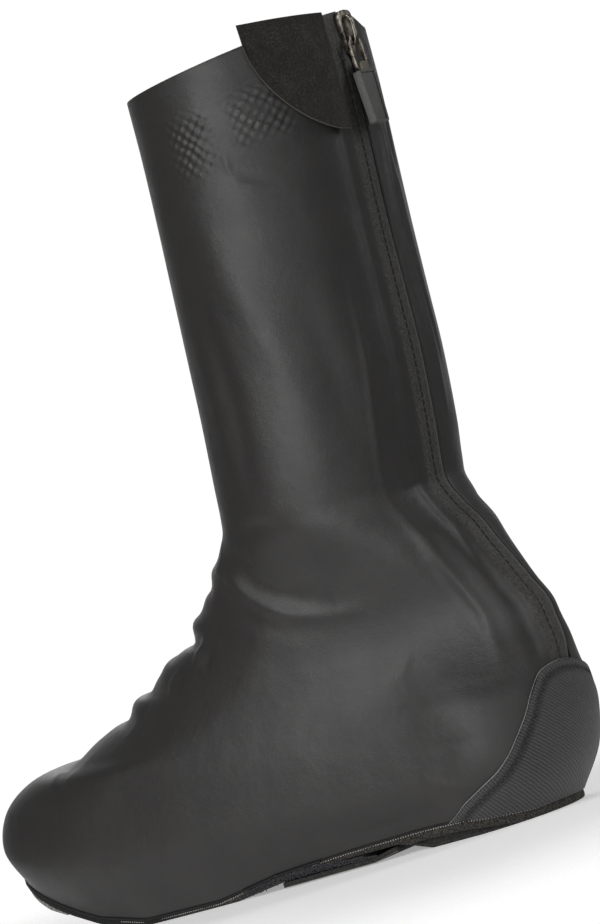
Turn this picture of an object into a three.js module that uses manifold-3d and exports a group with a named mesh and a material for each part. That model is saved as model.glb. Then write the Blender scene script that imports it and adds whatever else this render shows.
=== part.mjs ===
// Cycling overshoe for the left foot, in millimetres. The toe points to -X, the outer side of the
// foot to -Y and +Z is up. The origin is on the floor, in the middle of the heel's flat rest.
import * as THREE from "three";
import { mergeVertices } from "three/addons/utils/BufferGeometryUtils.js";
import Module from "manifold-3d";

const wasm = await Module();
wasm.setup();

// The last and the shaft.
const shellLength = 297;
const ballWidth = 97;
const ankleHeight = 139;
const collarHeight = 308;
const shaftWidth = 100;
const shaftDepth = 97;
const toeSwing = 6.7;
const rimDip = 4.4;
const zipPeak = 5.8;
const hemLift = 8;
const toeSpring = 33.6;
// The walls and the clearances between pieces.
const wall = 1.8;
const gap = 0.35;
const panelWall = 1.4;
const edgeWall = 1.2;
// The sole.
const archLift = 4.6;
const guardBelly = 2.4;
const edgeRound = 1.6;
const cleatLength = 48;
const cleatWidth = 44;
const treadLength = 28;
const treadWidth = 32;
// The pieces laid on the upper and under the sole.
const patchHeight = 55;
const patchWall = 0.9;
const flapWall = 1.2;
const flapDrop = 43;
const flapRise = 8;
const guardWall = 0.8;
const loopWall = 1.4;
const strapWall = 2;
const strapFloorGap = 0.4;
// The zip.
const slitWidth = 4.4;
const zipBottom = 49;
const coilWidth = 3.4;
const coilSink = 0.2;
const tapeWidth = 11;
const tapeWall = 0.8;
const sliderLength = 17;
const sliderWidth = 10;
const sliderWall = 1.4;
const linkLength = 13.5;
const linkWidth = 9;
const linkWire = 1.3;
const bailWire = 1.2;
const bailWidth = 2.2;
const tabLength = 21;
const tabWidth = 10.4;
const tabWall = 3.4;

// A section of the foot runs from the instep line in front to the heel line at the back. front,
// back, nose and tail are shares of shellLength, the heights of ankleHeight, outer and inner half
// widths of ballWidth. nose and tail are the rounded ends, heel the width there beside the middle.
function footSection(front, frontUp, back, backUp, outer, inner, nose, tail, heel) {
  return {
    front: front * shellLength,
    frontUp: frontUp * ankleHeight,
    back: back * shellLength,
    backUp: backUp * ankleHeight,
    outer: outer * ballWidth,
    inner: inner * ballWidth,
    nose: nose * shellLength,
    tail: tail * shellLength,
    heel,
  };
}

// A section of the shaft: rise is its share of the way from ankle to collar, middle of shellLength,
// depth and tilt of shaftDepth, and side, the half width on each side, of shaftWidth.
function shaftSection(rise, middle, depth, tilt, side) {
  const half = (depth * shaftDepth) / 2;
  const up = ankleHeight + rise * (collarHeight - ankleHeight);
  return {
    front: middle * shellLength - half,
    frontUp: up - (tilt * shaftDepth) / 2,
    back: middle * shellLength + half,
    backUp: up + (tilt * shaftDepth) / 2,
    outer: side * shaftWidth,
    inner: side * shaftWidth,
    nose: half,
    tail: half,
    heel: 1,
  };
}

const sections = [
  footSection(-0.879, 0.233, 0.017, 0.032, 0.445, 0.435, 0.187, 0.103, 0.72),
  footSection(-0.899, 0.323, 0.054, 0.129, 0.5, 0.495, 0.233, 0.116, 0.74),
  footSection(-0.879, 0.419, 0.073, 0.24, 0.5, 0.495, 0.272, 0.12, 0.75),
  footSection(-0.827, 0.481, 0.077, 0.323, 0.48, 0.475, 0.297, 0.116, 0.73),
  footSection(-0.751, 0.509, 0.08, 0.385, 0.455, 0.45, 0.307, 0.129, 0.68),
  footSection(-0.685, 0.544, 0.083, 0.447, 0.435, 0.431, 0.307, 0.155, 0.62),
  footSection(-0.626, 0.585, 0.081, 0.502, 0.421, 0.416, 0.297, 0.175, 0.58),
  footSection(-0.583, 0.633, 0.078, 0.557, 0.411, 0.406, 0.291, 0.181, 0.56),
  footSection(-0.532, 0.682, 0.063, 0.619, 0.406, 0.401, 0.272, 0.168, 0.6),
  footSection(-0.482, 0.73, 0.047, 0.689, 0.411, 0.406, 0.246, 0.149, 0.68),
  footSection(-0.446, 0.785, 0.032, 0.751, 0.416, 0.411, 0.226, 0.136, 0.78),
  footSection(-0.42, 0.841, 0.019, 0.813, 0.431, 0.426, 0.207, 0.136, 0.86),
  footSection(-0.385, 0.903, 0, 0.875, 0.455, 0.45, 0.187, 0.142, 0.94),
  footSection(-0.356, 0.972, -0.013, 0.937, 0.485, 0.48, 0.175, 0.155, 1),
  shaftSection(0.011, -0.176, 1, -0.04, 0.488),
  shaftSection(0.099, -0.167, 1.001, -0.03, 0.499),
  shaftSection(0.249, -0.155, 1.005, 0, 0.499),
  shaftSection(0.391, -0.147, 0.995, 0, 0.499),
  shaftSection(0.533, -0.139, 0.986, 0, 0.499),
  shaftSection(0.704, -0.129, 0.986, 0, 0.494),
  shaftSection(0.869, -0.12, 0.992, 0.02, 0.49),
  shaftSection(1.019, -0.115, 1, 0.032, 0.48),
];
const collar = sections.length - 1;
const sectionKeys = Object.keys(sections[0]);

// The hem seen from the side: along is a share of shellLength, lift of hemLift, spring of toeSpring.
const hemLine = [
  { along: -0.879, lift: 0.215, spring: 0.915 },
  { along: -0.832, lift: 0.215, spring: 0.77 },
  { along: -0.761, lift: 0.215, spring: 0.49 },
  { along: -0.68, lift: 0.215, spring: 0.17 },
  { along: -0.6, lift: 0.215, spring: 0.01 },
  { along: -0.468, lift: 0.24, spring: 0 },
  { along: -0.37, lift: 0.74, spring: 0 },
  { along: -0.26, lift: 0.93, spring: 0 },
  { along: -0.145, lift: 1, spring: 0 },
  { along: -0.081, lift: 0.94, spring: 0 },
  { along: 0, lift: 0.52, spring: 0 },
  { along: 0.039, lift: 0.56, spring: 0 },
];
// The underside of the sole: arch is a share of archLift, at its edge and added in the middle.
const soleLine = [
  { along: -0.879, arch: 0, spring: 0.9, crown: 0 },
  { along: -0.832, arch: 0, spring: 0.75, crown: -0.5 },
  { along: -0.761, arch: 0, spring: 0.46, crown: -0.5 },
  { along: -0.68, arch: 0, spring: 0.14, crown: 0 },
  { along: -0.63, arch: 0, spring: 0, crown: 0 },
  { along: -0.44, arch: 0, spring: 0, crown: 0 },
  { along: -0.385, arch: 1, spring: 0, crown: 0 },
  { along: -0.28, arch: 1, spring: 0, crown: 0.6 },
  { along: -0.185, arch: 1, spring: 0, crown: 0.4 },
  { along: -0.14, arch: 0, spring: 0, crown: 0 },
  { along: 0.05, arch: 0, spring: 0, crown: 0 },
];

const smooth = (share) => THREE.MathUtils.smoothstep(share, 0, 1);
const between = (share) => THREE.MathUtils.clamp(share, 0, 1);
const mix = THREE.MathUtils.lerp;

// The value of a column of a side-view table at a place along the foot.
function along(table, column, x) {
  const place = x / shellLength;
  const last = table.length - 1;
  if (place <= table[0].along) return table[0][column];
  if (place >= table[last].along) return table[last][column];
  const i = table.findIndex((row) => row.along > place) - 1;
  const share = (place - table[i].along) / (table[i + 1].along - table[i].along);
  return mix(table[i][column], table[i + 1][column], share);
}

const hemAt = (x) => hemLift * along(hemLine, "lift", x) + toeSpring * along(hemLine, "spring", x);

// The underside of the sole, where inward is 0 at its edge and 1 on its middle line.
function undersideAt(x, inward) {
  const bow = 1 - (1 - inward) ** 2;
  const edge = archLift * along(soleLine, "arch", x) + toeSpring * along(soleLine, "spring", x);
  return edge + archLift * along(soleLine, "crown", x) * bow;
}

function sectionAt(level) {
  const i = THREE.MathUtils.clamp(Math.floor(level), 0, collar - 1);
  const f = level - i;
  const rows = [i - 1, i, i + 1, i + 2].map((k) => sections[THREE.MathUtils.clamp(k, 0, collar)]);
  const value = (key) => {
    const [a, b, c, d] = rows.map((row) => row[key]);
    const curve = (2 * a - 5 * b + 4 * c - d) * f ** 2 + (3 * b - a - 3 * c + d) * f ** 3;
    return (2 * b + (c - a) * f + curve) / 2;
  };
  return Object.fromEntries(sectionKeys.map((key) => [key, value(key)]));
}

// A point of the upper's outer face. level counts the sections up from the hem. around is 0 at the
// back, 0.25 on the outer side, 0.5 at the front and 0.75 on the inner side.
function skin(level, around) {
  const s = sectionAt(level);
  const turn = around - Math.floor(around);
  const outerSide = turn <= 0.5;
  const forward = (1 - Math.cos(2 * Math.PI * turn)) / 2;
  const length = s.back - s.front;
  const hem = sections[0];
  const hemX = mix(hem.back, hem.front, forward);
  const settled = (1 - between(level / 3)) ** 2;
  let up = mix(s.backUp, s.frontUp, forward);
  up += (hemAt(hemX) - mix(hem.backUp, hem.frontUp, forward)) * settled;
  const roundedEnd = (reach, end) => Math.sqrt(1 - (1 - between(reach / (end / length))) ** 2);
  const ends = roundedEnd(1 - forward, s.nose) * roundedEnd(forward, s.tail);
  const taper = mix(s.heel, 1, smooth((forward - 0.1) / 0.52));
  const width = (outerSide ? s.outer : s.inner) * ends * taper;
  const middle = toeSwing * smooth((forward - 0.35) / 0.65) * (1 - between(level / 13));
  const rim = between((level - collar + 3) / 3) ** 1.5;
  const half = outerSide ? 2 * turn : 2 * (1 - turn);
  const innerDip = zipPeak * smooth(half / 0.14) * (1 - smooth((half - 0.5) / 0.5));
  up -= rim * (outerSide ? rimDip * ends : innerDip);
  return new THREE.Vector3(mix(s.back, s.front, forward), middle + (outerSide ? -width : width), up);
}

function outward(level, around) {
  const sideStep = 0.004;
  const upStep = 0.05;
  const across = skin(level, around + sideStep).sub(skin(level, around - sideStep));
  const above = Math.min(level + upStep, collar);
  const below = Math.max(level - upStep, 0);
  return skin(above, around).sub(skin(below, around)).cross(across).normalize();
}

// A point at a distance from the outer face: above 0 outside it, below 0 in the wall or inside.
const off = (level, around, distance) =>
  skin(level, around).addScaledVector(outward(level, around), distance);

// Halves the range between low and high until value there meets the aim.
function solve(aim, low, high, value) {
  let [a, b] = [low, high];
  for (let step = 0; step < 30; step += 1) {
    const mid = (a + b) / 2;
    if (value(mid) < aim) a = mid;
    else b = mid;
  }
  return (a + b) / 2;
}

const levelAt = (height, around) => solve(height, 0, collar, (level) => skin(level, around).z);
// The place around the skin that is sideways from the back's middle line, minus on the outer side.
function aroundAt(level, sideways) {
  const turn = solve(Math.abs(sideways), 0, 0.2, (share) => Math.abs(skin(level, share).y));
  return sideways < 0 ? turn : -turn;
}

function steps(count, from = 0, to = 1) {
  return Array.from({ length: count + 1 }, (_, i) => mix(from, to, i / count));
}

// The columns of the wall lie closer along the sides of the foot than round its two ends.
const columnCount = 52;
const columnShare = 0.016;
const arounds = steps(columnCount)
  .slice(0, columnCount)
  .map((turn) => turn + columnShare * Math.sin(4 * Math.PI * turn));
const levels = [...steps(6, 0, 3), ...steps(8, 4, 12), ...steps(6, 12.5, 15.5), ...steps(5, 16, 21)];
levels[levels.length - 1] = collar;

// A closed surface from points and triangles: welded, without collapsed faces, and facing out.
function closedGeometry(points, faces) {
  const loose = new THREE.BufferGeometry().setFromPoints(points).setIndex(faces);
  const welded = mergeVertices(loose, 1e-4);
  const at = welded.attributes.position;
  const kept = [];
  const corner = [0, 1, 2].map(() => new THREE.Vector3());
  let volume = 0;
  for (let i = 0; i < welded.index.count; i += 3) {
    const [a, b, c] = [0, 1, 2].map((k) => welded.index.getX(i + k));
    if (a === b || b === c || c === a) continue;
    kept.push([a, b, c]);
    [a, b, c].forEach((index, k) => corner[k].fromBufferAttribute(at, index));
    volume += corner[0].dot(corner[1].clone().cross(corner[2]));
  }
  const facing = volume > 0 ? kept : kept.map((face) => face.reverse());
  return welded.setIndex(facing.flat());
}

// A surface over rings of points. It joins its last ring to its first, or else its end rings are
// ones that close by themselves.
function overRings(rings, joinEnds) {
  const count = rings[0].length;
  const faces = [];
  const spans = joinEnds ? rings.length : rings.length - 1;
  for (let i = 0; i < spans; i += 1) {
    const next = (i + 1) % rings.length;
    for (let j = 0; j < count; j += 1) {
      const side = (j + 1) % count;
      const [a, b] = [i * count + j, i * count + side];
      const [c, d] = [next * count + j, next * count + side];
      faces.push(a, b, d, a, d, c);
    }
  }
  return closedGeometry(rings.flat(), faces);
}

// The wall between two distances from the skin, all the way round, over some levels.
function wallGeometry(outerDistance, innerDistance, wallLevels) {
  const ring = (level, distance) => arounds.map((around) => off(level, around, distance));
  const outside = wallLevels.map((level) => ring(level, outerDistance));
  const inside = wallLevels.map((level) => ring(level, innerDistance)).reverse();
  return overRings([...outside, ...inside], true);
}

// A sheet between two grids of points that have as many rows and columns.
function sheetGeometry(top, bottom) {
  const loops = top.map((row, i) => [...row, ...[...bottom[i]].reverse()]);
  const closing = (i) => {
    const edge = top[i].map((point, j) => point.clone().lerp(bottom[i][j], 0.5));
    return [...edge, ...[...edge].reverse()];
  };
  return overRings([closing(0), ...loops, closing(top.length - 1)], false);
}

function solidOf(geometry) {
  const bare = new THREE.BufferGeometry().setAttribute("position", geometry.attributes.position);
  const merged = mergeVertices(bare.setIndex(geometry.index), 1e-4);
  return new wasm.Manifold(
    new wasm.Mesh({
      numProp: 3,
      vertProperties: merged.attributes.position.array,
      triVerts: new Uint32Array(merged.index.array),
    }),
  );
}

function geometryOf(solid) {
  const made = solid.getMesh();
  const points = new Float32Array(made.numVert * 3);
  for (let i = 0; i < made.numVert; i += 1) {
    points.set(made.vertProperties.subarray(i * made.numProp, i * made.numProp + 3), i * 3);
  }
  const geometry = new THREE.BufferGeometry();
  geometry.setAttribute("position", new THREE.BufferAttribute(points, 3));
  return geometry.setIndex(new THREE.BufferAttribute(made.triVerts, 1));
}

function roundedRectangle(length, width, corner, path = new THREE.Shape()) {
  const [x, y] = [length / 2, width / 2];
  path.moveTo(-x + corner, -y);
  path.lineTo(x - corner, -y);
  path.absarc(x - corner, -y + corner, corner, -Math.PI / 2, 0);
  path.absarc(x - corner, y - corner, corner, 0, Math.PI / 2);
  path.absarc(-x + corner, y - corner, corner, Math.PI / 2, Math.PI);
  path.absarc(-x + corner, -y + corner, corner, Math.PI, 1.5 * Math.PI);
  return path;
}

const extrude = (shape, depth, options = {}) =>
  new THREE.ExtrudeGeometry(shape, { depth, bevelEnabled: false, curveSegments: 4, ...options });

// The upper: a hollow wall from hem to collar, slit down the back for the zip.
function upperGeometry() {
  const cutLevels = [levelAt(zipBottom, 0), ...levels.filter((l) => skin(l, 0).z > zipBottom + wall)];
  const reach = 4 * wall;
  const overshoot = new THREE.Vector3(0, 0, 2 * zipPeak);
  const row = (level, sideways) =>
    [reach, -reach].map((distance) => off(level, 0, distance).setY(sideways));
  const side = (sideways) => {
    const rows = cutLevels.map((level) => row(level, sideways));
    rows.push(row(collar, sideways).map((point) => point.add(overshoot)));
    return rows;
  };
  const cutter = sheetGeometry(side(slitWidth / 2), side(-slitWidth / 2));
  return geometryOf(solidOf(wallGeometry(0, -wall, levels)).subtract(solidOf(cutter)));
}

const cleatCentre = new THREE.Vector2(-0.532 * shellLength, 0.4 * toeSwing);
const treadCentre = new THREE.Vector2(-0.03 * shellLength - treadLength / 2, 0);

// Straight out from the skin at the hem, level with the floor.
const hemOut = (around) => outward(0, around).setZ(0).normalize();

// The sole: a shallow tray with its edge tucked inside the hem and two openings underneath.
function soleGeometry() {
  const tuckLevel = 0.4;
  const lower = new THREE.Vector3(0, 0, -gap);
  const ring = (point) => arounds.map(point);
  const hem = (around) => skin(0, around);
  const hemInset = (around, inset) => hem(around).addScaledVector(hemOut(around), -inset);
  const tuck = (inset) => ring((around) => off(tuckLevel, around, -inset));
  const underEdge = (around) => {
    const point = hemInset(around, edgeRound);
    return point.setZ(undersideAt(point.x, 0));
  };
  const band = (around) => {
    const point = hemInset(around, gap);
    return point.setZ(mix(underEdge(around).z, hem(around).z - gap, 0.45));
  };
  // A point of the underside, on the straight way from the edge to the middle line.
  const under = (around, inward, raise) => {
    const edge = underEdge(around);
    const other = underEdge(1 - around);
    const middle = edge.clone().add(other).multiplyScalar(0.5);
    const point = edge.lerp(middle, inward);
    return point.setZ(undersideAt(point.x, inward) + raise);
  };
  const corner = (around) => {
    const point = hemInset(around, wall + gap + edgeWall);
    return point.setZ(Math.min(undersideAt(point.x, 0) + panelWall, hem(around).z + panelWall));
  };
  const inwards = steps(4);
  const rings = [
    ...inwards.slice(1).reverse().map((inward) => ring((around) => under(around, inward, 0))),
    ring(underEdge),
    ring(band),
    ring((around) => hem(around).add(lower)),
    ring((around) => off(0, around, -wall - gap).add(lower)),
    tuck(wall + gap),
    tuck(wall + gap + edgeWall),
    ring((around) => off(0, around, -wall - gap - edgeWall)),
    ring(corner),
    ...inwards.slice(1).map((inward) => ring((around) => under(around, inward, panelWall))),
  ];
  const opening = (length, width, x, y) => {
    const shape = roundedRectangle(length, width, width / 3);
    return solidOf(extrude(shape, 4 * archLift).translate(x, y, -2 * archLift));
  };
  const cleat = opening(cleatLength, cleatWidth, cleatCentre.x, cleatCentre.y);
  const tread = opening(treadLength, treadWidth, treadCentre.x, 0);
  return geometryOf(solidOf(overRings(rings, false)).subtract(cleat).subtract(tread));
}

// The place on the hem at a distance along the foot, on the outer side.
const hemTurn = (x) => solve(-x, 0, 0.5, (turn) => -skin(0, turn).x);

// A sheet under the sole from one place along the foot to another. across runs from the outer edge,
// 0, to the inner edge, 1, and bottom and top give its heights there.
function underSheet(from, to, inset, acrossFrom, acrossTo, bottom, top) {
  const point = (x, across, height) => {
    const turn = hemTurn(x);
    const outer = skin(0, turn).y + inset;
    const inner = skin(0, 1 - turn).y - inset;
    return new THREE.Vector3(x, mix(outer, inner, across), height(x, 1 - Math.abs(2 * across - 1)));
  };
  const grid = (height) =>
    steps(8, from, to).map((x) =>
      steps(4, acrossFrom, acrossTo).map((across) => point(x, across, height)),
    );
  return sheetGeometry(grid(top), grid(bottom));
}

// The woven guard under the toe, which bellies a little below the sole.
function toeGuardGeometry() {
  const top = (x, inward) => undersideAt(x, inward) - 1.5 * gap;
  const start = -0.855 * shellLength;
  const end = -0.73 * shellLength;
  const bottom = (x, inward) => {
    const share = (x - start) / (end - start);
    const bulge = Math.sin(Math.PI * between(share)) * Math.sqrt(between(1.2 * inward + 0.2));
    return top(x, inward) - guardWall - guardBelly * bulge;
  };
  return underSheet(start, end, 2 * edgeRound, 0.02, 0.98, bottom, top);
}

const loopFrom = -0.368 * shellLength;
const loopTo = -0.24 * shellLength;
const loopTop = archLift - gap;

// The loop strip under the front of the arch, and the hook flap below it, rooted behind it.
function loopPatchGeometry() {
  const top = (x) => Math.min(undersideAt(x, 0), archLift) - gap;
  return underSheet(loopFrom, loopTo, 1.5 * gap, 0, 0.8, (x) => top(x) - loopWall, top);
}

function archStrapGeometry() {
  const start = loopFrom + 0.02 * shellLength;
  const root = -0.207 * shellLength;
  const low = loopTop - loopWall - gap - strapWall;
  const climbFrom = loopTo + 0.013 * shellLength;
  const climb = (x) => smooth((x - climbFrom) / (root - climbFrom));
  const top = (x) => mix(Math.max(low, strapFloorGap) + strapWall, loopTop, climb(x));
  const seated = (x, inward) => Math.min(top(x), undersideAt(x, inward) - gap);
  return underSheet(start, root, -0.4 * strapWall, 0, 0.78, (x, i) => seated(x, i) - strapWall, seated);
}

// The heel patch: a wall just outside the upper, cut by its outline as seen from the side.
function heelPatchGeometry() {
  const outline = new THREE.Shape();
  const at = (x, up) => [x * shellLength, up * patchHeight];
  outline.moveTo(...at(-0.115, -0.3));
  outline.lineTo(...at(-0.094, 0.14));
  outline.quadraticCurveTo(...at(0.05, 0.5), ...at(0.067, 0.93));
  outline.quadraticCurveTo(...at(0.072, 1.02), ...at(0.1, 1));
  outline.lineTo(...at(0.16, 0.95));
  outline.lineTo(...at(0.16, -0.3));
  const prism = extrude(outline, 2 * ballWidth, { curveSegments: 8 });
  prism.rotateX(Math.PI / 2).translate(0, ballWidth, 0);
  const patchLevel = 6;
  const low = levels.filter((level) => level <= patchLevel);
  const shell = solidOf(wallGeometry(gap + patchWall, gap, low));
  return geometryOf(shell.intersect(solidOf(prism)));
}

// A strip along the zip between two distances from the middle line and two from the skin.
function zipStrip(bottom, top, fromSide, toSide, outerDistance, innerDistance, columns) {
  const lowest = levelAt(bottom, 0);
  const highest = top >= skin(collar, 0).z ? collar : levelAt(top, 0);
  const inside = levels.filter((level) => level > lowest + 0.1 && level < highest - 0.1);
  const grid = (distance) =>
    [lowest, ...inside, highest].map((level) =>
      steps(columns, fromSide, toSide).map((side) => {
        const point = off(level, aroundAt(level, side), distance);
        const least = Math.min(Math.abs(fromSide), Math.abs(toSide), Math.abs(side));
        return point.setY(Math.sign(side) * Math.max(Math.abs(point.y), least));
      }),
    );
  return sheetGeometry(grid(outerDistance), grid(innerDistance));
}

const tapeOut = -wall - 1.6 * gap;
const tapeEdge = coilWidth / 2 + gap;
const tapeGeometry = (side) =>
  zipStrip(
    zipBottom - tapeWidth / 2, Infinity, side * tapeEdge, side * (tapeEdge + tapeWidth),
    tapeOut, tapeOut - tapeWall, 3,
  );

// The slider sits on the zip just under the collar's peak, turned to the lean of the back there.
const sliderAnchor = skin(collar, 0);
const backBelow = skin(collar - 1, 0);
const sliderLean = Math.atan2(sliderAnchor.x - backBelow.x, sliderAnchor.z - backBelow.z);
const neckLength = 0.2 * sliderLength;
const plateFrom = 1.4 * gap;
const plateInside = tapeOut - tapeWall - 2 * gap;
const bailLength = 0.62 * sliderLength;
const bailWindow = linkWire + 2.4 * gap;
const bailTop = -0.16 * sliderLength;
// The pin is the middle of the link's top bar, and the pull is built about it.
const pin = new THREE.Vector3(
  plateFrom + sliderWall + bailWindow / 2,
  0,
  bailTop - bailLength + bailWire + bailWindow / 2,
);

const coilTop = sliderAnchor.z - neckLength - 2.5 * gap;
const coilGeometry = () =>
  zipStrip(zipBottom + 4 * gap, coilTop, -coilWidth / 2, coilWidth / 2, -coilSink, tapeOut - tapeWall, 2);

// A block between two corners.
function block(low, high) {
  const box = new THREE.BoxGeometry(...high.map((value, i) => value - low[i]));
  box.translate(...high.map((value, i) => (value + low[i]) / 2));
  box.deleteAttribute("normal");
  box.deleteAttribute("uv");
  return solidOf(mergeVertices(box));
}

// A flat plate in the plane of the back, from its outline seen from behind.
function backPlate(outline, from, depth, options) {
  const plate = extrude(outline, depth, options);
  plate.rotateX(Math.PI / 2).rotateZ(Math.PI / 2).translate(from, 0, 0);
  return solidOf(plate);
}

function sliderGeometry() {
  const [half, low] = [sliderWidth / 2, -sliderLength];
  const outline = new THREE.Shape();
  outline.moveTo(-0.62 * half, low);
  outline.lineTo(0.62 * half, low);
  outline.lineTo(0.8 * half, 0.6 * low);
  outline.lineTo(half, 0.3 * low);
  outline.lineTo(0.8 * half, 0);
  outline.lineTo(-0.8 * half, 0);
  outline.lineTo(-half, 0.3 * low);
  outline.lineTo(-0.8 * half, 0.6 * low);
  outline.closePath();
  const front = backPlate(outline, plateFrom, sliderWall);
  const back = backPlate(outline, plateInside - sliderWall, sliderWall);
  const neckHalf = coilWidth / 2 - gap / 2;
  const neck = block(
    [plateInside - gap, -neckHalf, -neckLength],
    [plateFrom + gap, neckHalf, -0.05 * sliderLength],
  );
  const plateFace = plateFrom + sliderWall;
  const bail = block(
    [plateFace - gap, -bailWidth / 2, bailTop - bailLength],
    [plateFace + bailWindow + bailWire, bailWidth / 2, bailTop],
  ).subtract(
    block(
      [plateFace, -bailWidth, bailTop - bailLength + bailWire],
      [plateFace + bailWindow, bailWidth, bailTop - bailWire],
    ),
  );
  return geometryOf(front.add(back).add(neck).add(bail));
}

// The link hangs in the bail by its top bar, which is on the pin. Its outline is a long ring.
function linkGeometry() {
  const ring = roundedRectangle(linkWidth, linkLength, linkWidth / 4);
  const inner = roundedRectangle(
    linkWidth - 2 * linkWire, linkLength - 2 * linkWire, linkWidth / 8, new THREE.Path(),
  );
  ring.holes.push(inner);
  const link = backPlate(ring, -linkWire / 2, linkWire);
  return geometryOf(link.translate([0, 0, (linkWire - linkLength) / 2]));
}

// The moulded grip: its neck is closed round the link's lower bar.
function tabGeometry() {
  const linkEnd = linkWire / 2 - linkLength;
  const neckHalf = 0.26 * linkWidth;
  const bodyTop = linkEnd - gap;
  const half = tabWidth / 2;
  const outline = new THREE.Shape();
  outline.moveTo(-0.82 * half, bodyTop - tabLength);
  outline.lineTo(0.82 * half, bodyTop - tabLength);
  outline.lineTo(half, bodyTop - 0.1 * tabLength);
  outline.lineTo(0.9 * half, bodyTop);
  outline.lineTo(-0.9 * half, bodyTop);
  outline.lineTo(-half, bodyTop - 0.1 * tabLength);
  outline.closePath();
  const body = backPlate(outline, -tabWall / 2, tabWall);
  const neck = block(
    [-tabWall / 2, -neckHalf, bodyTop - gap],
    [tabWall / 2, neckHalf, linkEnd + 2 * linkWire + gap],
  );
  const socket = block(
    [-linkWire / 2 - gap, -linkWidth, bodyTop],
    [linkWire / 2 + gap, linkWidth, linkEnd + linkWire + gap],
  );
  const recess = backPlate(
    roundedRectangle(1.45 * half, 0.72 * tabLength, half / 4), tabWall / 2 - gap, tabWall,
  ).translate([0, 0, bodyTop - tabLength / 2]);
  return geometryOf(body.add(neck).subtract(socket).subtract(recess));
}

// The brushed flap that covers the slider when worn, here folded outwards beside the zip.
function flapGeometry() {
  const zipSide = 0.04;
  const farSide = 0.152;
  const point = (share, down, distance) => {
    const around = mix(zipSide, farSide, share);
    const rim = skin(collar, around);
    const drop = flapDrop * (1 - share ** 2) ** 0.75;
    const rise = flapRise * mix(0.2, 1, share);
    const up = mix(-drop, rise, down);
    const level = up < 0 ? levelAt(rim.z + up, around) : collar;
    const placed = off(level, around, distance);
    return up < 0 ? placed : placed.setZ(placed.z + up);
  };
  const grid = (distance) =>
    steps(9).map((down) => steps(10).map((share) => point(share, down, distance)));
  return sheetGeometry(grid(gap + flapWall), grid(gap));
}

const finish = (colour, roughness, metalness = 0) =>
  new THREE.MeshStandardMaterial({ color: colour, roughness, metalness });
const coated = finish(0x2b2a2a, 0.45);
const woven = finish(0x2a2a2e, 0.75);
const fleece = finish(0x211d19, 0.95);
const webbing = finish(0x1c1c1b, 0.85);
const mesh = finish(0x5a5850, 0.8);
const gunmetal = finish(0x6f6a62, 0.35, 1);
const moulded = finish(0x3a3a39, 0.6);

function piece(name, geometry, material) {
  const made = new THREE.Mesh(geometry, material);
  made.name = name;
  return made;
}

const overshoe = new THREE.Group();
overshoe.add(
  piece("upper", upperGeometry(), coated),
  piece("sole", soleGeometry(), webbing),
  piece("toe_guard", toeGuardGeometry(), mesh),
  piece("heel_patch", heelPatchGeometry(), woven),
  piece("loop_patch", loopPatchGeometry(), fleece),
  piece("arch_strap", archStrapGeometry(), webbing),
  piece("zip_tape_outer", tapeGeometry(-1), woven),
  piece("zip_tape_inner", tapeGeometry(1), woven),
  piece("zip_coil", coilGeometry(), webbing),
  piece("collar_flap", flapGeometry(), fleece),
);
const slider = new THREE.Group();
slider.position.set(sliderAnchor.x, 0, sliderAnchor.z);
slider.rotation.y = sliderLean;
slider.add(piece("zip_slider", sliderGeometry(), gunmetal));
slider.updateMatrix();
const pull = new THREE.Group();
pull.position.copy(pin.applyMatrix4(slider.matrix));
pull.add(
  piece("pull_link", linkGeometry(), gunmetal),
  piece("pull_tab", tabGeometry(), moulded),
);
overshoe.add(slider, pull);

export default overshoe;
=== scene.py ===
"""A cycling overshoe for the left foot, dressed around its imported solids.

The toe points to -X, the outer side of the foot to -Y and +Z is up, in metres. Shapes are worked
out in millimetres, the sizes that the maker would use, and turned to metres when a mesh is made.
"""

import math

import bpy
import numpy as np
from mathutils import Matrix, Quaternion, Vector


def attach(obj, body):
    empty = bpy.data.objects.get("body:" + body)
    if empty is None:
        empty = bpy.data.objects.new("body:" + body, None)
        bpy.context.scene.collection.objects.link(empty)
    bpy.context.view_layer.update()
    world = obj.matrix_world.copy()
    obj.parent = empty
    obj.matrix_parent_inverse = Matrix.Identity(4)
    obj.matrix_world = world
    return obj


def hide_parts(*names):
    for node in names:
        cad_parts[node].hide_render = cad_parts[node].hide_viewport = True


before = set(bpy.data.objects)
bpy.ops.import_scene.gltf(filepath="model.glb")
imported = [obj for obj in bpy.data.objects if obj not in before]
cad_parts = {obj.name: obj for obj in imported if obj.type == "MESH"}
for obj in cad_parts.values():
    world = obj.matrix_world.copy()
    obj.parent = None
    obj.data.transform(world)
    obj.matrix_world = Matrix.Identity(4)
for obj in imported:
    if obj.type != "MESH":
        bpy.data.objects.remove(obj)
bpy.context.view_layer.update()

# The camera. It stands low beside the heel, a hand's width above the floor, and is rolled so
# that the shaft leans over to the left as it does in the picture.
AZIMUTH, ELEVATION = 36, -2
ROLL = math.radians(17.8)
DISTANCE = 1.536
LENS_MM = 152.2
AIM = Vector((-0.0864, 0, 0.1613))
AIM_ASIDE = 0.0164


def way_to(azimuth, elevation):
    """The direction of an azimuth and an elevation in degrees, as seen from the shoe."""
    turned, raised = math.radians(azimuth), math.radians(elevation)
    level = math.cos(raised)
    return Vector((math.sin(turned) * level, -math.cos(turned) * level, math.sin(raised)))


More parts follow.
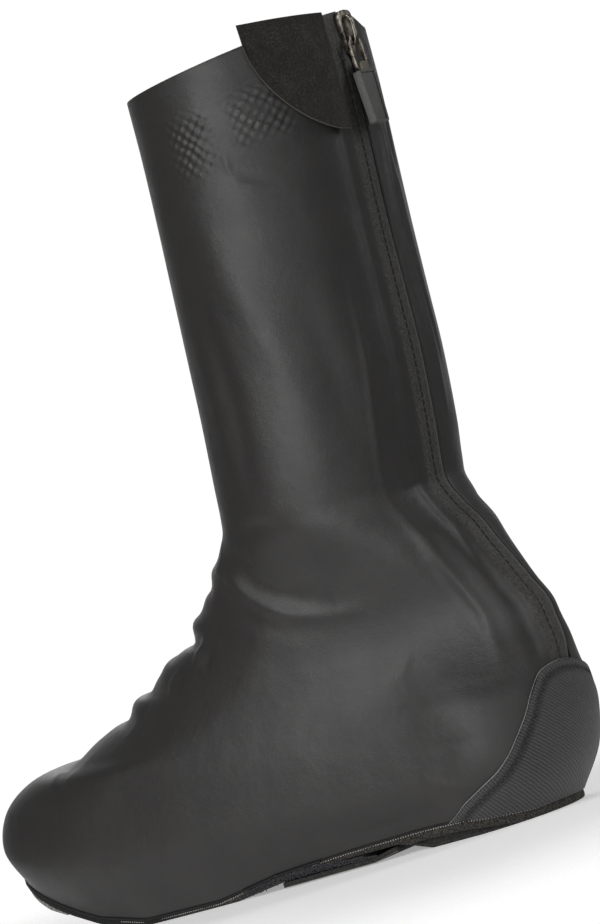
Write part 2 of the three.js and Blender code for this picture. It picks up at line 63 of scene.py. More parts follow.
away = way_to(AZIMUTH, ELEVATION)
level_right = Vector((0, 0, 1)).cross(away).normalized()
level_up = away.cross(level_right)
right = level_right * math.cos(ROLL) - level_up * math.sin(ROLL)
eye = AIM + away * DISTANCE
back = (eye - AIM - right * AIM_ASIDE).normalized()
right = (right - back * right.dot(back)).normalized()
camera_data = bpy.data.cameras.new("camera")
camera_data.lens = LENS_MM
camera_data.sensor_width = 36
camera_data.clip_start = 0.05
camera = bpy.data.objects.new("camera", camera_data)
turn = Matrix((right, back.cross(right), back)).transposed().to_4x4()
camera.matrix_world = Matrix.Translation(eye) @ turn
bpy.context.scene.collection.objects.link(camera)
bpy.context.scene.camera = camera

# The floor and the light: a round pale sheet on the ground that thins out to nothing at its rim, a
# white wall far behind in a dim room, a tall soft box beside the camera that draws the long
# highlights, a wide weak one to its right and two for the far side.
FLOOR_RADIUS, FLOOR_FADE_FROM, FLOOR_FADE_TO = 0.8, 0.17, 0.42
FLOOR_MIDDLE = (-0.12, 0.0)
FLOOR_COLOUR, FLOOR_ROUGHNESS, FLOOR_GLOW, FLOOR_CORNERS = 0.92, 0.9, 0.32, 96
round_rim = np.linspace(0, 2 * math.pi, FLOOR_CORNERS, endpoint=False)
floor_points = [(FLOOR_RADIUS * math.cos(t), FLOOR_RADIUS * math.sin(t), 0) for t in round_rim]
floor_mesh = bpy.data.meshes.new("floor")
floor_mesh.from_pydata(floor_points, [], [tuple(range(FLOOR_CORNERS))])
floor = bpy.data.objects.new("floor", floor_mesh)
floor.location = (*FLOOR_MIDDLE, 0)
bpy.context.scene.collection.objects.link(floor)
paper = bpy.data.materials.new("floor_paper")
paper.use_nodes = True
paper_nodes, paper_links = paper.node_tree.nodes, paper.node_tree.links
paper_shader = paper_nodes["Principled BSDF"]
paper_shader.inputs["Base Color"].default_value = (FLOOR_COLOUR, FLOOR_COLOUR, FLOOR_COLOUR, 1)
paper_shader.inputs["Roughness"].default_value = FLOOR_ROUGHNESS
paper_shader.inputs["Emission Color"].default_value = (1, 1, 1, 1)
paper_shader.inputs["Emission Strength"].default_value = FLOOR_GLOW
on_floor = paper_nodes.new("ShaderNodeTexCoord")
from_middle = paper_nodes.new("ShaderNodeVectorMath")
from_middle.operation = "LENGTH"


def fade(nodes, low, high, at_low, at_high):
    """A shader node that eases from one value to another between two limits."""
    made = nodes.new("ShaderNodeMapRange")
    made.interpolation_type = "SMOOTHSTEP"
    sockets = ("From Min", "From Max", "To Min", "To Max")
    for socket, value in zip(sockets, (low, high, at_low, at_high)):
        made.inputs[socket].default_value = value
    return made


thinning = fade(paper_nodes, FLOOR_FADE_FROM, FLOOR_FADE_TO, 1.0, 0.0)
paper_links.new(on_floor.outputs["Object"], from_middle.inputs[0])
paper_links.new(from_middle.outputs["Value"], thinning.inputs["Value"])
paper_links.new(thinning.outputs["Result"], paper_shader.inputs["Alpha"])
floor.data.materials.append(paper)

bpy.context.scene.view_settings.view_transform = "Standard"
ROOM_LIGHT, WALL_LIGHT, WALL_EDGE, WALL_FULL = 0.13, 1.02, 0.86, 0.975
room = bpy.data.worlds.new("room")
room.use_nodes = True
room_nodes, room_links = room.node_tree.nodes, room.node_tree.links
direction = room_nodes.new("ShaderNodeTexCoord")
toward_wall = room_nodes.new("ShaderNodeVectorMath")
toward_wall.operation = "DOT_PRODUCT"
toward_wall.inputs[1].default_value = (-away.x, -away.y, 0)
wall = fade(room_nodes, WALL_EDGE, WALL_FULL, ROOM_LIGHT, WALL_LIGHT)
room_links.new(direction.outputs["Generated"], toward_wall.inputs[0])
room_links.new(toward_wall.outputs["Value"], wall.inputs["Value"])
room_links.new(wall.outputs["Result"], room_nodes["Background"].inputs["Strength"])
room_nodes["Background"].inputs["Color"].default_value = (1, 1, 1, 1)
bpy.context.scene.world = room


def soft_box(name, azimuth, elevation, distance, size, power, lean=0):
    """A soft box that faces the shoe from an azimuth and elevation and leans over, in degrees."""
    lamp = bpy.data.lights.new(name, "AREA")
    lamp.shape = "RECTANGLE"
    lamp.size, lamp.size_y = size
    lamp.energy = power
    way = way_to(azimuth, elevation)
    facing_shoe = (-way).to_track_quat("-Z", "Y")
    made = bpy.data.objects.new(name, lamp)
    made.location = Vector((-0.09, 0, 0.15)) + way * distance
    made.rotation_euler = (facing_shoe @ Quaternion((0, 0, 1), math.radians(lean))).to_euler()
    bpy.context.scene.collection.objects.link(made)


soft_box("key_box", -4, 12, 1.7, (0.42, 2.5), 23, lean=18)
soft_box("fill_box", 45, 10, 2.2, (1.1, 1.6), 8)
soft_box("rear_box", 125, 25, 1.7, (0.4, 1.2), 6.5)
soft_box("far_box", 215, 35, 1.8, (0.8, 0.8), 7)

# The upper: one seamless body of coated stretch fabric, laminated over a thin lining and welded
# into a sock with a tall shaft. It was steamed on a last, so its form is that of the last, with
# soft folds where the foot bends.
SHELL_LENGTH = 297.0
BALL_WIDTH = 97.0
ANKLE_HEIGHT = 139.0
COLLAR_HEIGHT = 308.0
SHAFT_WIDTH = 100.0
SHAFT_DEPTH = 97.0
TOE_SWING = 6.7
RIM_DIP = 4.4
ZIP_PEAK = 5.8
HEM_LIFT = 8.0
TOE_SPRING = 33.6
WALL = 1.8

# front, front height, back, back height, outer half width, inner half width, nose, tail, heel
FOOT_SECTIONS = [
    (-0.879, 0.233, 0.017, 0.032, 0.445, 0.435, 0.187, 0.103, 0.72),
    (-0.899, 0.323, 0.054, 0.129, 0.5, 0.495, 0.233, 0.116, 0.74),
    (-0.879, 0.419, 0.073, 0.24, 0.5, 0.495, 0.272, 0.12, 0.75),
    (-0.827, 0.481, 0.077, 0.323, 0.48, 0.475, 0.297, 0.116, 0.73),
    (-0.751, 0.509, 0.08, 0.385, 0.455, 0.45, 0.307, 0.129, 0.68),
    (-0.685, 0.544, 0.083, 0.447, 0.435, 0.431, 0.307, 0.155, 0.62),
    (-0.626, 0.585, 0.081, 0.502, 0.421, 0.416, 0.297, 0.175, 0.58),
    (-0.583, 0.633, 0.078, 0.557, 0.411, 0.406, 0.291, 0.181, 0.56),
    (-0.532, 0.682, 0.063, 0.619, 0.406, 0.401, 0.272, 0.168, 0.6),
    (-0.482, 0.73, 0.047, 0.689, 0.411, 0.406, 0.246, 0.149, 0.68),
    (-0.446, 0.785, 0.032, 0.751, 0.416, 0.411, 0.226, 0.136, 0.78),
    (-0.42, 0.841, 0.019, 0.813, 0.431, 0.426, 0.207, 0.136, 0.86),
    (-0.385, 0.903, 0, 0.875, 0.455, 0.45, 0.187, 0.142, 0.94),
    (-0.356, 0.972, -0.013, 0.937, 0.485, 0.48, 0.175, 0.155, 1),
]
# rise, middle, depth, tilt, half width
SHAFT_SECTIONS = [
    (0.011, -0.176, 1, -0.04, 0.488),
    (0.099, -0.167, 1.001, -0.03, 0.499),
    (0.249, -0.155, 1.005, 0, 0.499),
    (0.391, -0.147, 0.995, 0, 0.499),
    (0.533, -0.139, 0.986, 0, 0.499),
    (0.704, -0.129, 0.986, 0, 0.494),
    (0.869, -0.12, 0.992, 0.02, 0.49),
    (1.019, -0.115, 1, 0.032, 0.48),
]


def shaft_row(rise, middle, depth, tilt, side):
    half = depth * SHAFT_DEPTH / 2
    up = ANKLE_HEIGHT + rise * (COLLAR_HEIGHT - ANKLE_HEIGHT)
    lean = tilt * SHAFT_DEPTH / 2
    centre, width = middle * SHELL_LENGTH, side * SHAFT_WIDTH
    return centre - half, up - lean, centre + half, up + lean, width, width, half, half, 1


FOOT_UNITS = np.array([SHELL_LENGTH, ANKLE_HEIGHT, SHELL_LENGTH, ANKLE_HEIGHT,
                       BALL_WIDTH, BALL_WIDTH, SHELL_LENGTH, SHELL_LENGTH, 1])
SECTIONS = np.array(
    [np.array(row) * FOOT_UNITS for row in FOOT_SECTIONS] + [shaft_row(*row) for row in SHAFT_SECTIONS]
)
COLLAR = len(SECTIONS) - 1
# place along the foot, share of the hem's lift, share of the toe's spring
HEM_LINE = np.array([
    (-0.879, 0.215, 0.915), (-0.832, 0.215, 0.77), (-0.761, 0.215, 0.49), (-0.68, 0.215, 0.17),
    (-0.6, 0.215, 0.01), (-0.468, 0.24, 0), (-0.37, 0.74, 0), (-0.26, 0.93, 0), (-0.145, 1, 0),
    (-0.081, 0.94, 0), (0, 0.52, 0), (0.039, 0.56, 0),
])


def smooth(share):
    share = np.clip(share, 0, 1)
    return share * share * (3 - 2 * share)


def hem_height(x):
    place = x / SHELL_LENGTH
    lift = np.interp(place, HEM_LINE[:, 0], HEM_LINE[:, 1])
    spring = np.interp(place, HEM_LINE[:, 0], HEM_LINE[:, 2])
    return HEM_LIFT * lift + TOE_SPRING * spring


def section_at(level):
    i = np.clip(np.floor(level).astype(int), 0, COLLAR - 1)
    f = (level - i)[..., None]
    a, b, c, d = (SECTIONS[np.clip(i + k, 0, COLLAR)] for k in (-1, 0, 1, 2))
    curve = (2 * a - 5 * b + 4 * c - d) * f**2 + (3 * b - a - 3 * c + d) * f**3
    return np.moveaxis((2 * b + (c - a) * f + curve) / 2, -1, 0)


def skin(level, around):
    """The upper's outer face. level counts the sections up, around runs from the back by the outer side."""
    level, around = np.broadcast_arrays(np.asarray(level, float), np.asarray(around, float))
    front, front_up, heel, heel_up, outer, inner, nose, tail, heel_share = section_at(level)
    turn = around - np.floor(around)
    outer_side = turn <= 0.5
    forward = (1 - np.cos(2 * np.pi * turn)) / 2
    length = heel - front
    hem = SECTIONS[0]
    hem_x = hem[2] + (hem[0] - hem[2]) * forward
    hem_up = hem[3] + (hem[1] - hem[3]) * forward
    up = heel_up + (front_up - heel_up) * forward
    up = up + (hem_height(hem_x) - hem_up) * (1 - np.clip(level / 3, 0, 1)) ** 2

    def rounded_end(reach, end):
        return np.sqrt(1 - (1 - np.clip(reach * length / end, 0, 1)) ** 2)

    ends = rounded_end(1 - forward, nose) * rounded_end(forward, tail)
    taper = heel_share + (1 - heel_share) * smooth((forward - 0.1) / 0.52)
    width = np.where(outer_side, outer, inner) * ends * taper
    middle = TOE_SWING * smooth((forward - 0.35) / 0.65) * (1 - np.clip(level / 13, 0, 1))
    rim = np.clip((level - COLLAR + 3) / 3, 0, 1) ** 1.5
    half = np.where(outer_side, 2 * turn, 2 * (1 - turn))
    inner_dip = ZIP_PEAK * smooth(half / 0.14) * (1 - smooth((half - 0.5) / 0.5))
    up = up - rim * np.where(outer_side, RIM_DIP * ends, inner_dip)
    side = middle + np.where(outer_side, -width, width)
    return np.stack([heel + (front - heel) * forward, side, up], -1)


def unit(vectors):
    return vectors / np.linalg.norm(vectors, axis=-1, keepdims=True)


def walk(line):
    """How far along a line each of its points lies."""
    return np.r_[0, np.cumsum(np.linalg.norm(np.diff(line, axis=0), axis=1))]


def at_walk(places, walked, line):
    """The points of a line at given distances along it."""
    return np.stack([np.interp(places, walked, line[:, k]) for k in range(3)], -1)


def halved(low, high, short_of):
    """The place between two limits where short_of stops being true."""
    for _ in range(26):
        middle = (low + high) / 2
        short = short_of(middle)
        low, high = np.where(short, middle, low), np.where(short, high, middle)
    return (low + high) / 2


def outward(level, around):
    level, around = np.broadcast_arrays(np.asarray(level, float), np.asarray(around, float))
    across = skin(level, around + 0.004) - skin(level, around - 0.004)
    upwards = skin(np.minimum(level + 0.05, COLLAR), around) - skin(np.maximum(level - 0.05, 0), around)
    return unit(np.cross(upwards, across))


def off(level, around, distance):
    return skin(level, around) + outward(level, around) * np.asarray(distance)[..., None]


def steady(share, count):
    """Places spaced evenly along the skin's levels at one side, so that the mesh rows are even."""
    fine = np.linspace(0, COLLAR, 700)
    walked = walk(skin(fine, share))
    return np.interp(np.linspace(0, walked[-1], count), walked, fine)


def turn_at(level, sideways):
    """The place round the back of the skin that is sideways millimetres from its middle line."""
    start, end = np.zeros_like(level), np.full_like(level, 0.2)
    return halved(start, end, lambda turn: np.abs(skin(level, turn)[..., 1]) < sideways)


def grid_faces(rows, columns):
    corner = np.arange((rows - 1) * columns).reshape(rows - 1, columns)[:, :-1].ravel()
    return np.stack([corner, corner + 1, corner + columns + 1, corner + columns], -1)


def hoop_faces(hoops, count, closed=False):
    """Faces that join hoops of count points, into a loop or else with a flat cap at both ends."""
    faces = []
    for i in range(hoops if closed else hoops - 1):
        here, ahead = i * count, (i + 1) % hoops * count
        for j in range(count):
            k = (j + 1) % count
            faces.append((here + j, here + k, ahead + k, ahead + j))
    if not closed:
        faces += [tuple(range(count - 1, -1, -1)), tuple(range(count * (hoops - 1), count * hoops))]
    return faces


def sheet_faces(rows, columns):
    """Faces of a closed sheet: its front, its back and the wall between their edges."""
    count = rows * columns
    border = np.r_[
        np.arange(columns), np.arange(2, rows) * columns - 1,
        count - 1 - np.arange(columns), (rows - 2 - np.arange(rows - 2)) * columns,
    ]
    following = np.roll(border, -1)
    front = grid_faces(rows, columns)
    wall = np.stack([border, border + count, following + count, following], -1)
    return np.concatenate([front, front[:, ::-1] + count, wall])


def shell_piece(name, points, faces, material, body="shoe", uv=None, swap=()):
    """A mesh object from points in millimetres, shaded smooth, with a map in centimetres."""
    mesh = bpy.data.meshes.new(name)
    mesh.from_pydata((np.asarray(points).reshape(-1, 3) / 1000).tolist(), [], [tuple(face) for face in faces])
    if uv is not None:
        layer = mesh.uv_layers.new(name="cloth")
        corners = np.zeros(len(mesh.loops), int)
        mesh.loops.foreach_get("vertex_index", corners)
        layer.data.foreach_set("uv", (np.asarray(uv).reshape(-1, 2)[corners] / 10).ravel())
    mesh.shade_smooth()
    mesh.materials.append(material)
    made = bpy.data.objects.new(name, mesh)
    bpy.context.scene.collection.objects.link(made)
    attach(made, body)
    for solid in swap:
        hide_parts(solid)
    return made


def hold(piece, name, values):
    """Keeps a value at each point of a piece for its material."""
    piece.data.attributes.new(name, "FLOAT", "POINT").data.foreach_set("value", np.ravel(values))


def finish(name, colour, roughness, **sockets):
    """A material whose plain values sit on its shader's own sockets."""
    material = bpy.data.materials.new(name)
    material.use_nodes = True
    shader = material.node_tree.nodes["Principled BSDF"]
    shader.inputs["Base Color"].default_value = (*colour, 1)
    shader.inputs["Roughness"].default_value = roughness
    for socket, value in sockets.items():
        shader.inputs[socket.replace("_", " ")].default_value = value
    return material


def node(material, kind, inputs, **settings):
    """A shader node whose inputs are values or the output sockets of other nodes."""
    made = material.node_tree.nodes.new("ShaderNode" + kind)
    for name, value in settings.items():
        setattr(made, name, value)
    for name, value in inputs.items():
        socket = made.inputs[name]
        if isinstance(value, bpy.types.NodeSocket):
            material.node_tree.links.new(value, socket)
        else:
            socket.default_value = value
    return made.outputs[0]


def place_of(material, map_name=None):
    """Where a point is: on the cloth's flat map, or else in the object's own metres."""
    if map_name:
        return node(material, "UVMap", {}, uv_map=map_name)
    coordinates = material.node_tree.nodes.new("ShaderNodeTexCoord")
    return coordinates.outputs["Object"]


def grain(material, place, scale, detail=4.0, roughness=0.6):
    inputs = {"Vector": place, "Scale": scale, "Detail": detail, "Roughness": roughness}
    return node(material, "TexNoise", inputs)


def ramp(material, value, low, high, at_low, at_high):
    inputs = {"Value": value, "From Min": low, "From Max": high, "To Min": at_low, "To Max": at_high}
    return node(material, "MapRange", inputs)


def relief(material, height, distance, below=None):
    """A bump of that many metres, laid over another bump where one is given."""
    inputs = {"Height": height, "Distance": distance, "Strength": 1.0}
    if below is not None:
        inputs["Normal"] = below
    return node(material, "Bump", inputs)


def set_inputs(material, **sockets):
    shader = material.node_tree.nodes["Principled BSDF"]
    for name, value in sockets.items():
        material.node_tree.links.new(value, shader.inputs[name.replace("_", " ")])


def tint(material, share, dark, light):
    """A colour between two by a share from 0 to 1, each a colour or the socket of one."""
    made = node(material, "Mix", {0: share}, data_type="RGBA").node
    for socket, colour in ((6, dark), (7, light)):
        if isinstance(colour, tuple):
            made.inputs[socket].default_value = (*colour, 1)
        else:
            material.node_tree.links.new(colour, made.inputs[socket])
    return made.outputs[2]


def speckled(name, colour, roughness, speck, turns_at, dark, light, depth, **sockets):
    """A finish whose colour and bump follow one noise of a scale and detail, and that noise."""
    material = finish(name, colour, roughness, **sockets)
    noise = grain(material, place_of(material), *speck)
    shade = tint(material, ramp(material, noise, *turns_at, 0, 1), dark, light)
    set_inputs(material, Base_Color=shade, Normal=relief(material, noise, depth))
    return material, noise


def point_value(material, name):
    """A value that the mesh holds at each of its points."""
    return node(material, "Attribute", {}, attribute_name=name).node.outputs["Fac"]


def sums(material, operation, first, second=None):
    inputs = {0: first} if second is None else {0: first, 1: second}
    return node(material, "Math", inputs, operation=operation)


# The fabric's outside: satin, near black and a little warm, with a fine leathery grain. The facings
# are of the same cloth with a coarse grain. The gripper's pads are pressed through from inside as
# rows of small domes.
DOME_PITCH = 4.7
coated = finish("coated_stretch", (0.02, 0.0185, 0.0175), 0.45, Coat_Weight=0.1, Coat_Roughness=0.45)
place = place_of(coated)
mottle = grain(coated, place, 55, 3)
fine_grain = grain(coated, place, 1900, 3)
coarse_grain = grain(coated, place, 850, 3, 0.7)
on_facing = point_value(coated, "facing")
flat_map = place_of(coated, "cloth")
wander = sums(coated, "MULTIPLY", grain(coated, flat_map, 1.1, 2), 0.22)
wander = node(coated, "VectorMath", {0: flat_map, 1: wander}, operation="ADD")
flat_place = node(coated, "SeparateXYZ", {"Vector": wander})
dome_step = 20 * math.pi / DOME_PITCH
across_domes = sums(coated, "COSINE", sums(coated, "MULTIPLY", flat_place, dome_step))
down_domes = sums(coated, "COSINE", sums(coated, "MULTIPLY", flat_place.node.outputs[1], dome_step))
domes = sums(coated, "MULTIPLY", across_domes, down_domes)
domes = sums(coated, "MULTIPLY", domes, point_value(coated, "grip"))
domes = sums(coated, "MULTIPLY", domes, ramp(coated, grain(coated, flat_map, 1.5, 2), 0.32, 0.62, 0.2, 1))
facing_grain = sums(coated, "MULTIPLY", coarse_grain, on_facing)
plain_tint = tint(
    coated, ramp(coated, mottle, 0.3, 0.7, 0, 1), (0.0175, 0.016, 0.0155), (0.0235, 0.0218, 0.0208)
)
facing_tint = tint(
    coated, ramp(coated, coarse_grain, 0.35, 0.65, 0, 1), (0.016, 0.015, 0.014), (0.05, 0.047, 0.044)
)
both_tints = tint(coated, on_facing, plain_tint, facing_tint)
worn_tint = tint(coated, point_value(coated, "lip_worn"), both_tints, (0.13, 0.125, 0.12))
bumps = relief(coated, fine_grain, 0.00014, relief(coated, mottle, 0.0006))
bumps = relief(coated, domes, 0.0003, relief(coated, facing_grain, 0.0006, bumps))
set_inputs(
    coated,
    Base_Color=worn_tint,
    Roughness=ramp(coated, mottle, 0.3, 0.7, 0.48, 0.4),
    Normal=bumps,
)


# The main creases, each with its depth (over 0 is a ridge), its width, and the places
# that it passes as a level and a share of the way round.
CREASES = [
    # the smile over the instep, where the shaft's cloth puffs over that of the foot
    (1.1, 2.8, [(12.3, 0.40), (11.5, 0.335), (10.4, 0.3), (9.75, 0.277), (9.2, 0.253), (8.8, 0.225),
                (8.6, 0.19)]),
    (-1.9, 5.5, [(12.6, 0.38), (12.1, 0.325), (11.2, 0.295), (10.5, 0.27), (9.9, 0.245), (9.4, 0.215)]),
    (-0.8, 4.5, [(11.1, 0.36), (10.0, 0.315), (9.2, 0.285), (8.6, 0.255), (8.3, 0.22)]),
    # small folds down the instep, which notch its outline
    (1.8, 4.0, [(11.9, 0.36), (12.0, 0.44), (12.0, 0.5), (12.0, 0.57), (11.8, 0.64)]),
    (-1.6, 3.6, [(11.3, 0.38), (11.5, 0.44), (11.6, 0.5), (11.5, 0.57), (11.2, 0.63)]),
    (2.2, 4.4, [(9.3, 0.35), (9.7, 0.4), (9.9, 0.46), (9.9, 0.53), (9.8, 0.6)]),
    (-2.4, 3.4, [(8.9, 0.35), (9.1, 0.4), (9.2, 0.46), (9.2, 0.52), (9.0, 0.6)]),
    (1.6, 5.0, [(7.4, 0.37), (7.9, 0.41), (8.2, 0.46), (8.2, 0.53), (8.0, 0.6)]),
    (-1.6, 4.0, [(7.0, 0.36), (7.1, 0.41), (7.2, 0.46), (7.2, 0.52), (7.2, 0.58)]),
    (1.5, 4.6, [(6.3, 0.39), (6.5, 0.43), (6.6, 0.48), (6.6, 0.54), (6.4, 0.6)]),
    (-1.8, 4.4, [(5.4, 0.38), (5.9, 0.42), (6.0, 0.47), (6.0, 0.53), (5.7, 0.6)]),
    (1.0, 2.4, [(9.3, 0.366), (8.8, 0.368), (8.3, 0.36), (7.8, 0.345)]),
    (-0.8, 2.6, [(8.9, 0.345), (8.2, 0.34), (7.4, 0.325)]),
    (0.7, 2.6, [(7.9, 0.375), (7.2, 0.37), (6.6, 0.352)]),
    # the dent behind the toe, with its short bright pleat
    (-2.2, 9.0, [(3.6, 0.38), (4.1, 0.43), (4.3, 0.5), (4.1, 0.58)]),
    (1.0, 2.6, [(3.9, 0.42), (3.3, 0.39), (2.8, 0.372)]),
    (-1.0, 3.4, [(3.6, 0.4), (3.0, 0.375), (2.4, 0.352)]),
    # the edge of the tape inside the seam, a thin line beside the zip down to the heel
    (0.55, 1.5, [(17.6, 0.084), (17.0, 0.087), (16.0, 0.091), (15.2, 0.097), (14.2, 0.1), (13.0, 0.098)]),
    (0.8, 2.2, [(13.4, 0.098), (12.0, 0.096), (10.0, 0.1), (8.5, 0.102), (7.0, 0.101),
                (6.0, 0.097), (5.0, 0.089), (4.3, 0.083)]),
    (-0.5, 3.4, [(13.0, 0.112), (11.0, 0.114), (9.0, 0.118), (7.0, 0.116), (5.6, 0.105)]),
    # long soft swells of the shaft
    (0.9, 9.0, [(19.2, 0.265), (18.0, 0.235), (17.0, 0.205), (16.0, 0.18), (14.6, 0.165)]),
    (-0.8, 6.0, [(17.6, 0.152), (16.6, 0.142), (15.6, 0.128), (14.6, 0.118)]),
    (-0.8, 5.0, [(18.2, 0.305), (17.0, 0.285), (15.8, 0.275), (14.4, 0.275)]),
    (0.5, 5.0, [(17.4, 0.325), (16.2, 0.312), (14.8, 0.305)]),
    # the gripper band, heat pressed from inside below the collar
    (-0.6, 1.1, [(20.3, 0.232), (20.32, 0.21), (20.34, 0.193), (20.38, 0.165), (20.41, 0.141),
                 (20.44, 0.12)]),
    (0.45, 1.5, [(19.6, 0.21), (19.59, 0.2), (19.52, 0.17), (19.45, 0.141), (19.4, 0.13)]),
    (0.4, 1.5, [(19.62, 0.205), (19.42, 0.205), (19.26, 0.2015), (19.2, 0.19)]),
    (-0.5, 1.8, [(19.3, 0.21), (19.13, 0.175), (19.0, 0.15), (18.96, 0.14)]),
    # the heel and the hem
    (1.4, 13.0, [(5.6, 0.165), (4.4, 0.14), (3.2, 0.125), (2.0, 0.118)]),
    (-0.6, 2.6, [(0.36, 0.19), (0.42, 0.165), (0.5, 0.14), (0.62, 0.115), (0.8, 0.1)]),
    (0.4, 2.0, [(1.35, 0.14), (1.0, 0.122), (0.9, 0.1)]),
    (0.16, 0.5, [(0.62, 0.262), (0.7, 0.252), (0.78, 0.243)]),
    # the folded crook behind the ankle and the puckers of the inner side
    (-1.0, 4.0, [(13.6, 0.07), (13.4, 0.03), (13.2, 0.99), (13.1, 0.95)]),
    (1.0, 2.2, [(19.8, 0.997), (19.63, 0.99), (19.5, 0.979), (19.27, 0.969), (18.76, 0.973), (18.15, 0.977),
                (17.6, 0.974), (17.2, 0.971), (16.2, 0.965), (15.0, 0.962)]),
    (-0.7, 2.4, [(20.75, 0.975), (20.5, 0.972), (20.3, 0.972), (20.1, 0.978)]),
    (0.7, 1.6, [(20.8, 0.96), (20.5, 0.953), (20.25, 0.957), (20.05, 0.966)]),
    (-0.8, 2.4, [(20.2, 0.93), (19.4, 0.935), (18.6, 0.945)]),
    (0.8, 2.6, [(19.2, 0.945), (18.2, 0.95), (17.0, 0.947), (15.8, 0.94)]),
    (-1.4, 4.0, [(12.4, 0.93), (11.0, 0.9), (9.6, 0.86)]),
]


def crease(points, depth, width, path):
    """How far one crease moves each point outwards. It fades to nothing at both ends."""
    knots = np.array(path, float)
    shares = np.linspace(0, len(knots) - 1, 6 * len(knots))
    i = np.minimum(shares.astype(int), len(knots) - 2)
    f = (shares - i)[:, None]
    before, after = knots[np.maximum(i - 1, 0)], knots[np.minimum(i + 2, len(knots) - 1)]
    start, end = knots[i], knots[i + 1]
    bend = (2 * before - 5 * start + 4 * end - after) * f**2 + (3 * start - before - 3 * end + after) * f**3
    line = skin(*((2 * start + (end - before) * f + bend) / 2).T)
    spans = np.linalg.norm(np.diff(line, axis=0), axis=1)
    walked = np.r_[0, np.cumsum(spans)]
    nearest = np.full(points.shape[:-1], np.inf)
    along = np.zeros(points.shape[:-1])
    for k, span in enumerate(spans):
        reach = line[k + 1] - line[k]
        share = np.clip((points - line[k]) @ reach / span**2, 0, 1)
        distance = np.linalg.norm(points - line[k] - share[..., None] * reach, axis=-1)
        closer = distance < nearest
        nearest = np.where(closer, distance, nearest)
        along = np.where(closer, (walked[k] + share * span) / walked[-1], along)
    return depth * np.sin(np.pi * along) ** 0.7 * np.exp(-((nearest / width) ** 2))


def folded(points):
    return sum(crease(points, depth, width, path) for depth, width, path in CREASES)


# Rows run along the skin's levels, and columns start and end at the two lips of the slit.
UPPER_ROWS = 250
LIP_COLUMNS = 42
BODY_COLUMNS = 290
LIP_REACH = 0.052
LIP_SINK = [-1.5, -1.1, -0.5, -0.12]
SLIT_BOTTOM, SLIT_GRIP, SLIT_HALF, SLIT_HALF_OPEN = 49.0, 292.0, 0.8, 2.3
row_levels = steady(0.3, UPPER_ROWS)
lip = np.linspace(0, LIP_REACH, LIP_COLUMNS)
body = np.linspace(LIP_REACH, 1 - LIP_REACH, BODY_COLUMNS + 2)[1:-1]
body = body + 0.012 * np.sin(4 * np.pi * body) * smooth(np.minimum(body, 1 - body) / 0.12 - 0.45)
turns = np.r_[lip, body, 1 - lip[::-1]]
back_height = skin(row_levels, 0.0)[:, 2]
slit_half = SLIT_HALF + (SLIT_HALF_OPEN - SLIT_HALF) * smooth((back_height - SLIT_GRIP) / 6)
slit_half = slit_half * smooth((back_height - SLIT_BOTTOM) / 4)
edge_turn = turn_at(row_levels, slit_half)[:, None]
around = edge_turn + (1 - 2 * edge_turn) * turns
level = np.broadcast_to(row_levels[:, None], around.shape)
plain = skin(level, around)
spans = np.linalg.norm(np.diff(plain, axis=1), axis=-1)
walked = np.concatenate([np.zeros((UPPER_ROWS, 1)), np.cumsum(spans, axis=1)], axis=1)
from_slit = np.minimum(walked, walked[:, -1:] - walked)
from_rim = np.cumsum(np.linalg.norm(np.diff(plain, axis=0), axis=-1)[::-1], axis=0)[::-1]
from_rim = np.concatenate([from_rim, np.zeros((1, around.shape[1]))])

# The facing on the outer side of the zip: two grainy strips with a stitched groove between, then a
# soft valley. Its folded lip stands up and is worn light in the lower half. The inner side is plain.
FACING, GROOVE, VALLEY, LIP_WORN_BELOW = 9.6, 4.9, 13.6, 205.0
in_zip = smooth((back_height - SLIT_BOTTOM - 2) / 8)[:, None]
outer_zip = in_zip * (around < 0.5)
facing = (1 - smooth((from_slit - FACING + 0.6) / 1.2)) * outer_zip
lift = 0.55 * facing - 0.15 * smooth((from_slit - GROOVE) / 1.0) * facing
lift -= 0.45 * np.exp(-(((from_slit - GROOVE) / 0.4) ** 2)) * outer_zip
lift -= 0.9 * np.exp(-(((from_slit - VALLEY) / 3.0) ** 2)) * outer_zip
lift -= 0.5 * (1 - smooth(from_slit / 0.7)) * in_zip
lip_worn = (1 - smooth((back_height - LIP_WORN_BELOW) / 40))[:, None] * outer_zip
lift += 0.35 * np.exp(-(((from_slit - 0.9) / 0.7) ** 2)) * lip_worn
lip_worn = lip_worn * np.exp(-(((from_slit - 0.7) / 0.5) ** 2))
lift += folded(plain)
lift *= smooth((from_rim + 2) / 6)
normal = outward(level, around)
outside = plain + normal * lift[..., None]


def soft_window(value, low, high, edge):
    return smooth((value - low) / edge + 0.5) * smooth((high - value) / edge + 0.5)


# lowest and highest level, first and last share of the way round
GRIP_PADS = [
    (19.45, 20.28, 0.216, 0.282), (19.6, 20.26, 0.112, 0.184), (19.7, 20.5, 0.922, 0.968),
    (19.4, 20.3, 0.78, 0.87), (19.4, 20.3, 0.66, 0.75),
]
grip = sum(
    soft_window(level, low, high, 0.3) * soft_window(around, start, end, 0.024)
    for low, high, start, end in GRIP_PADS
)

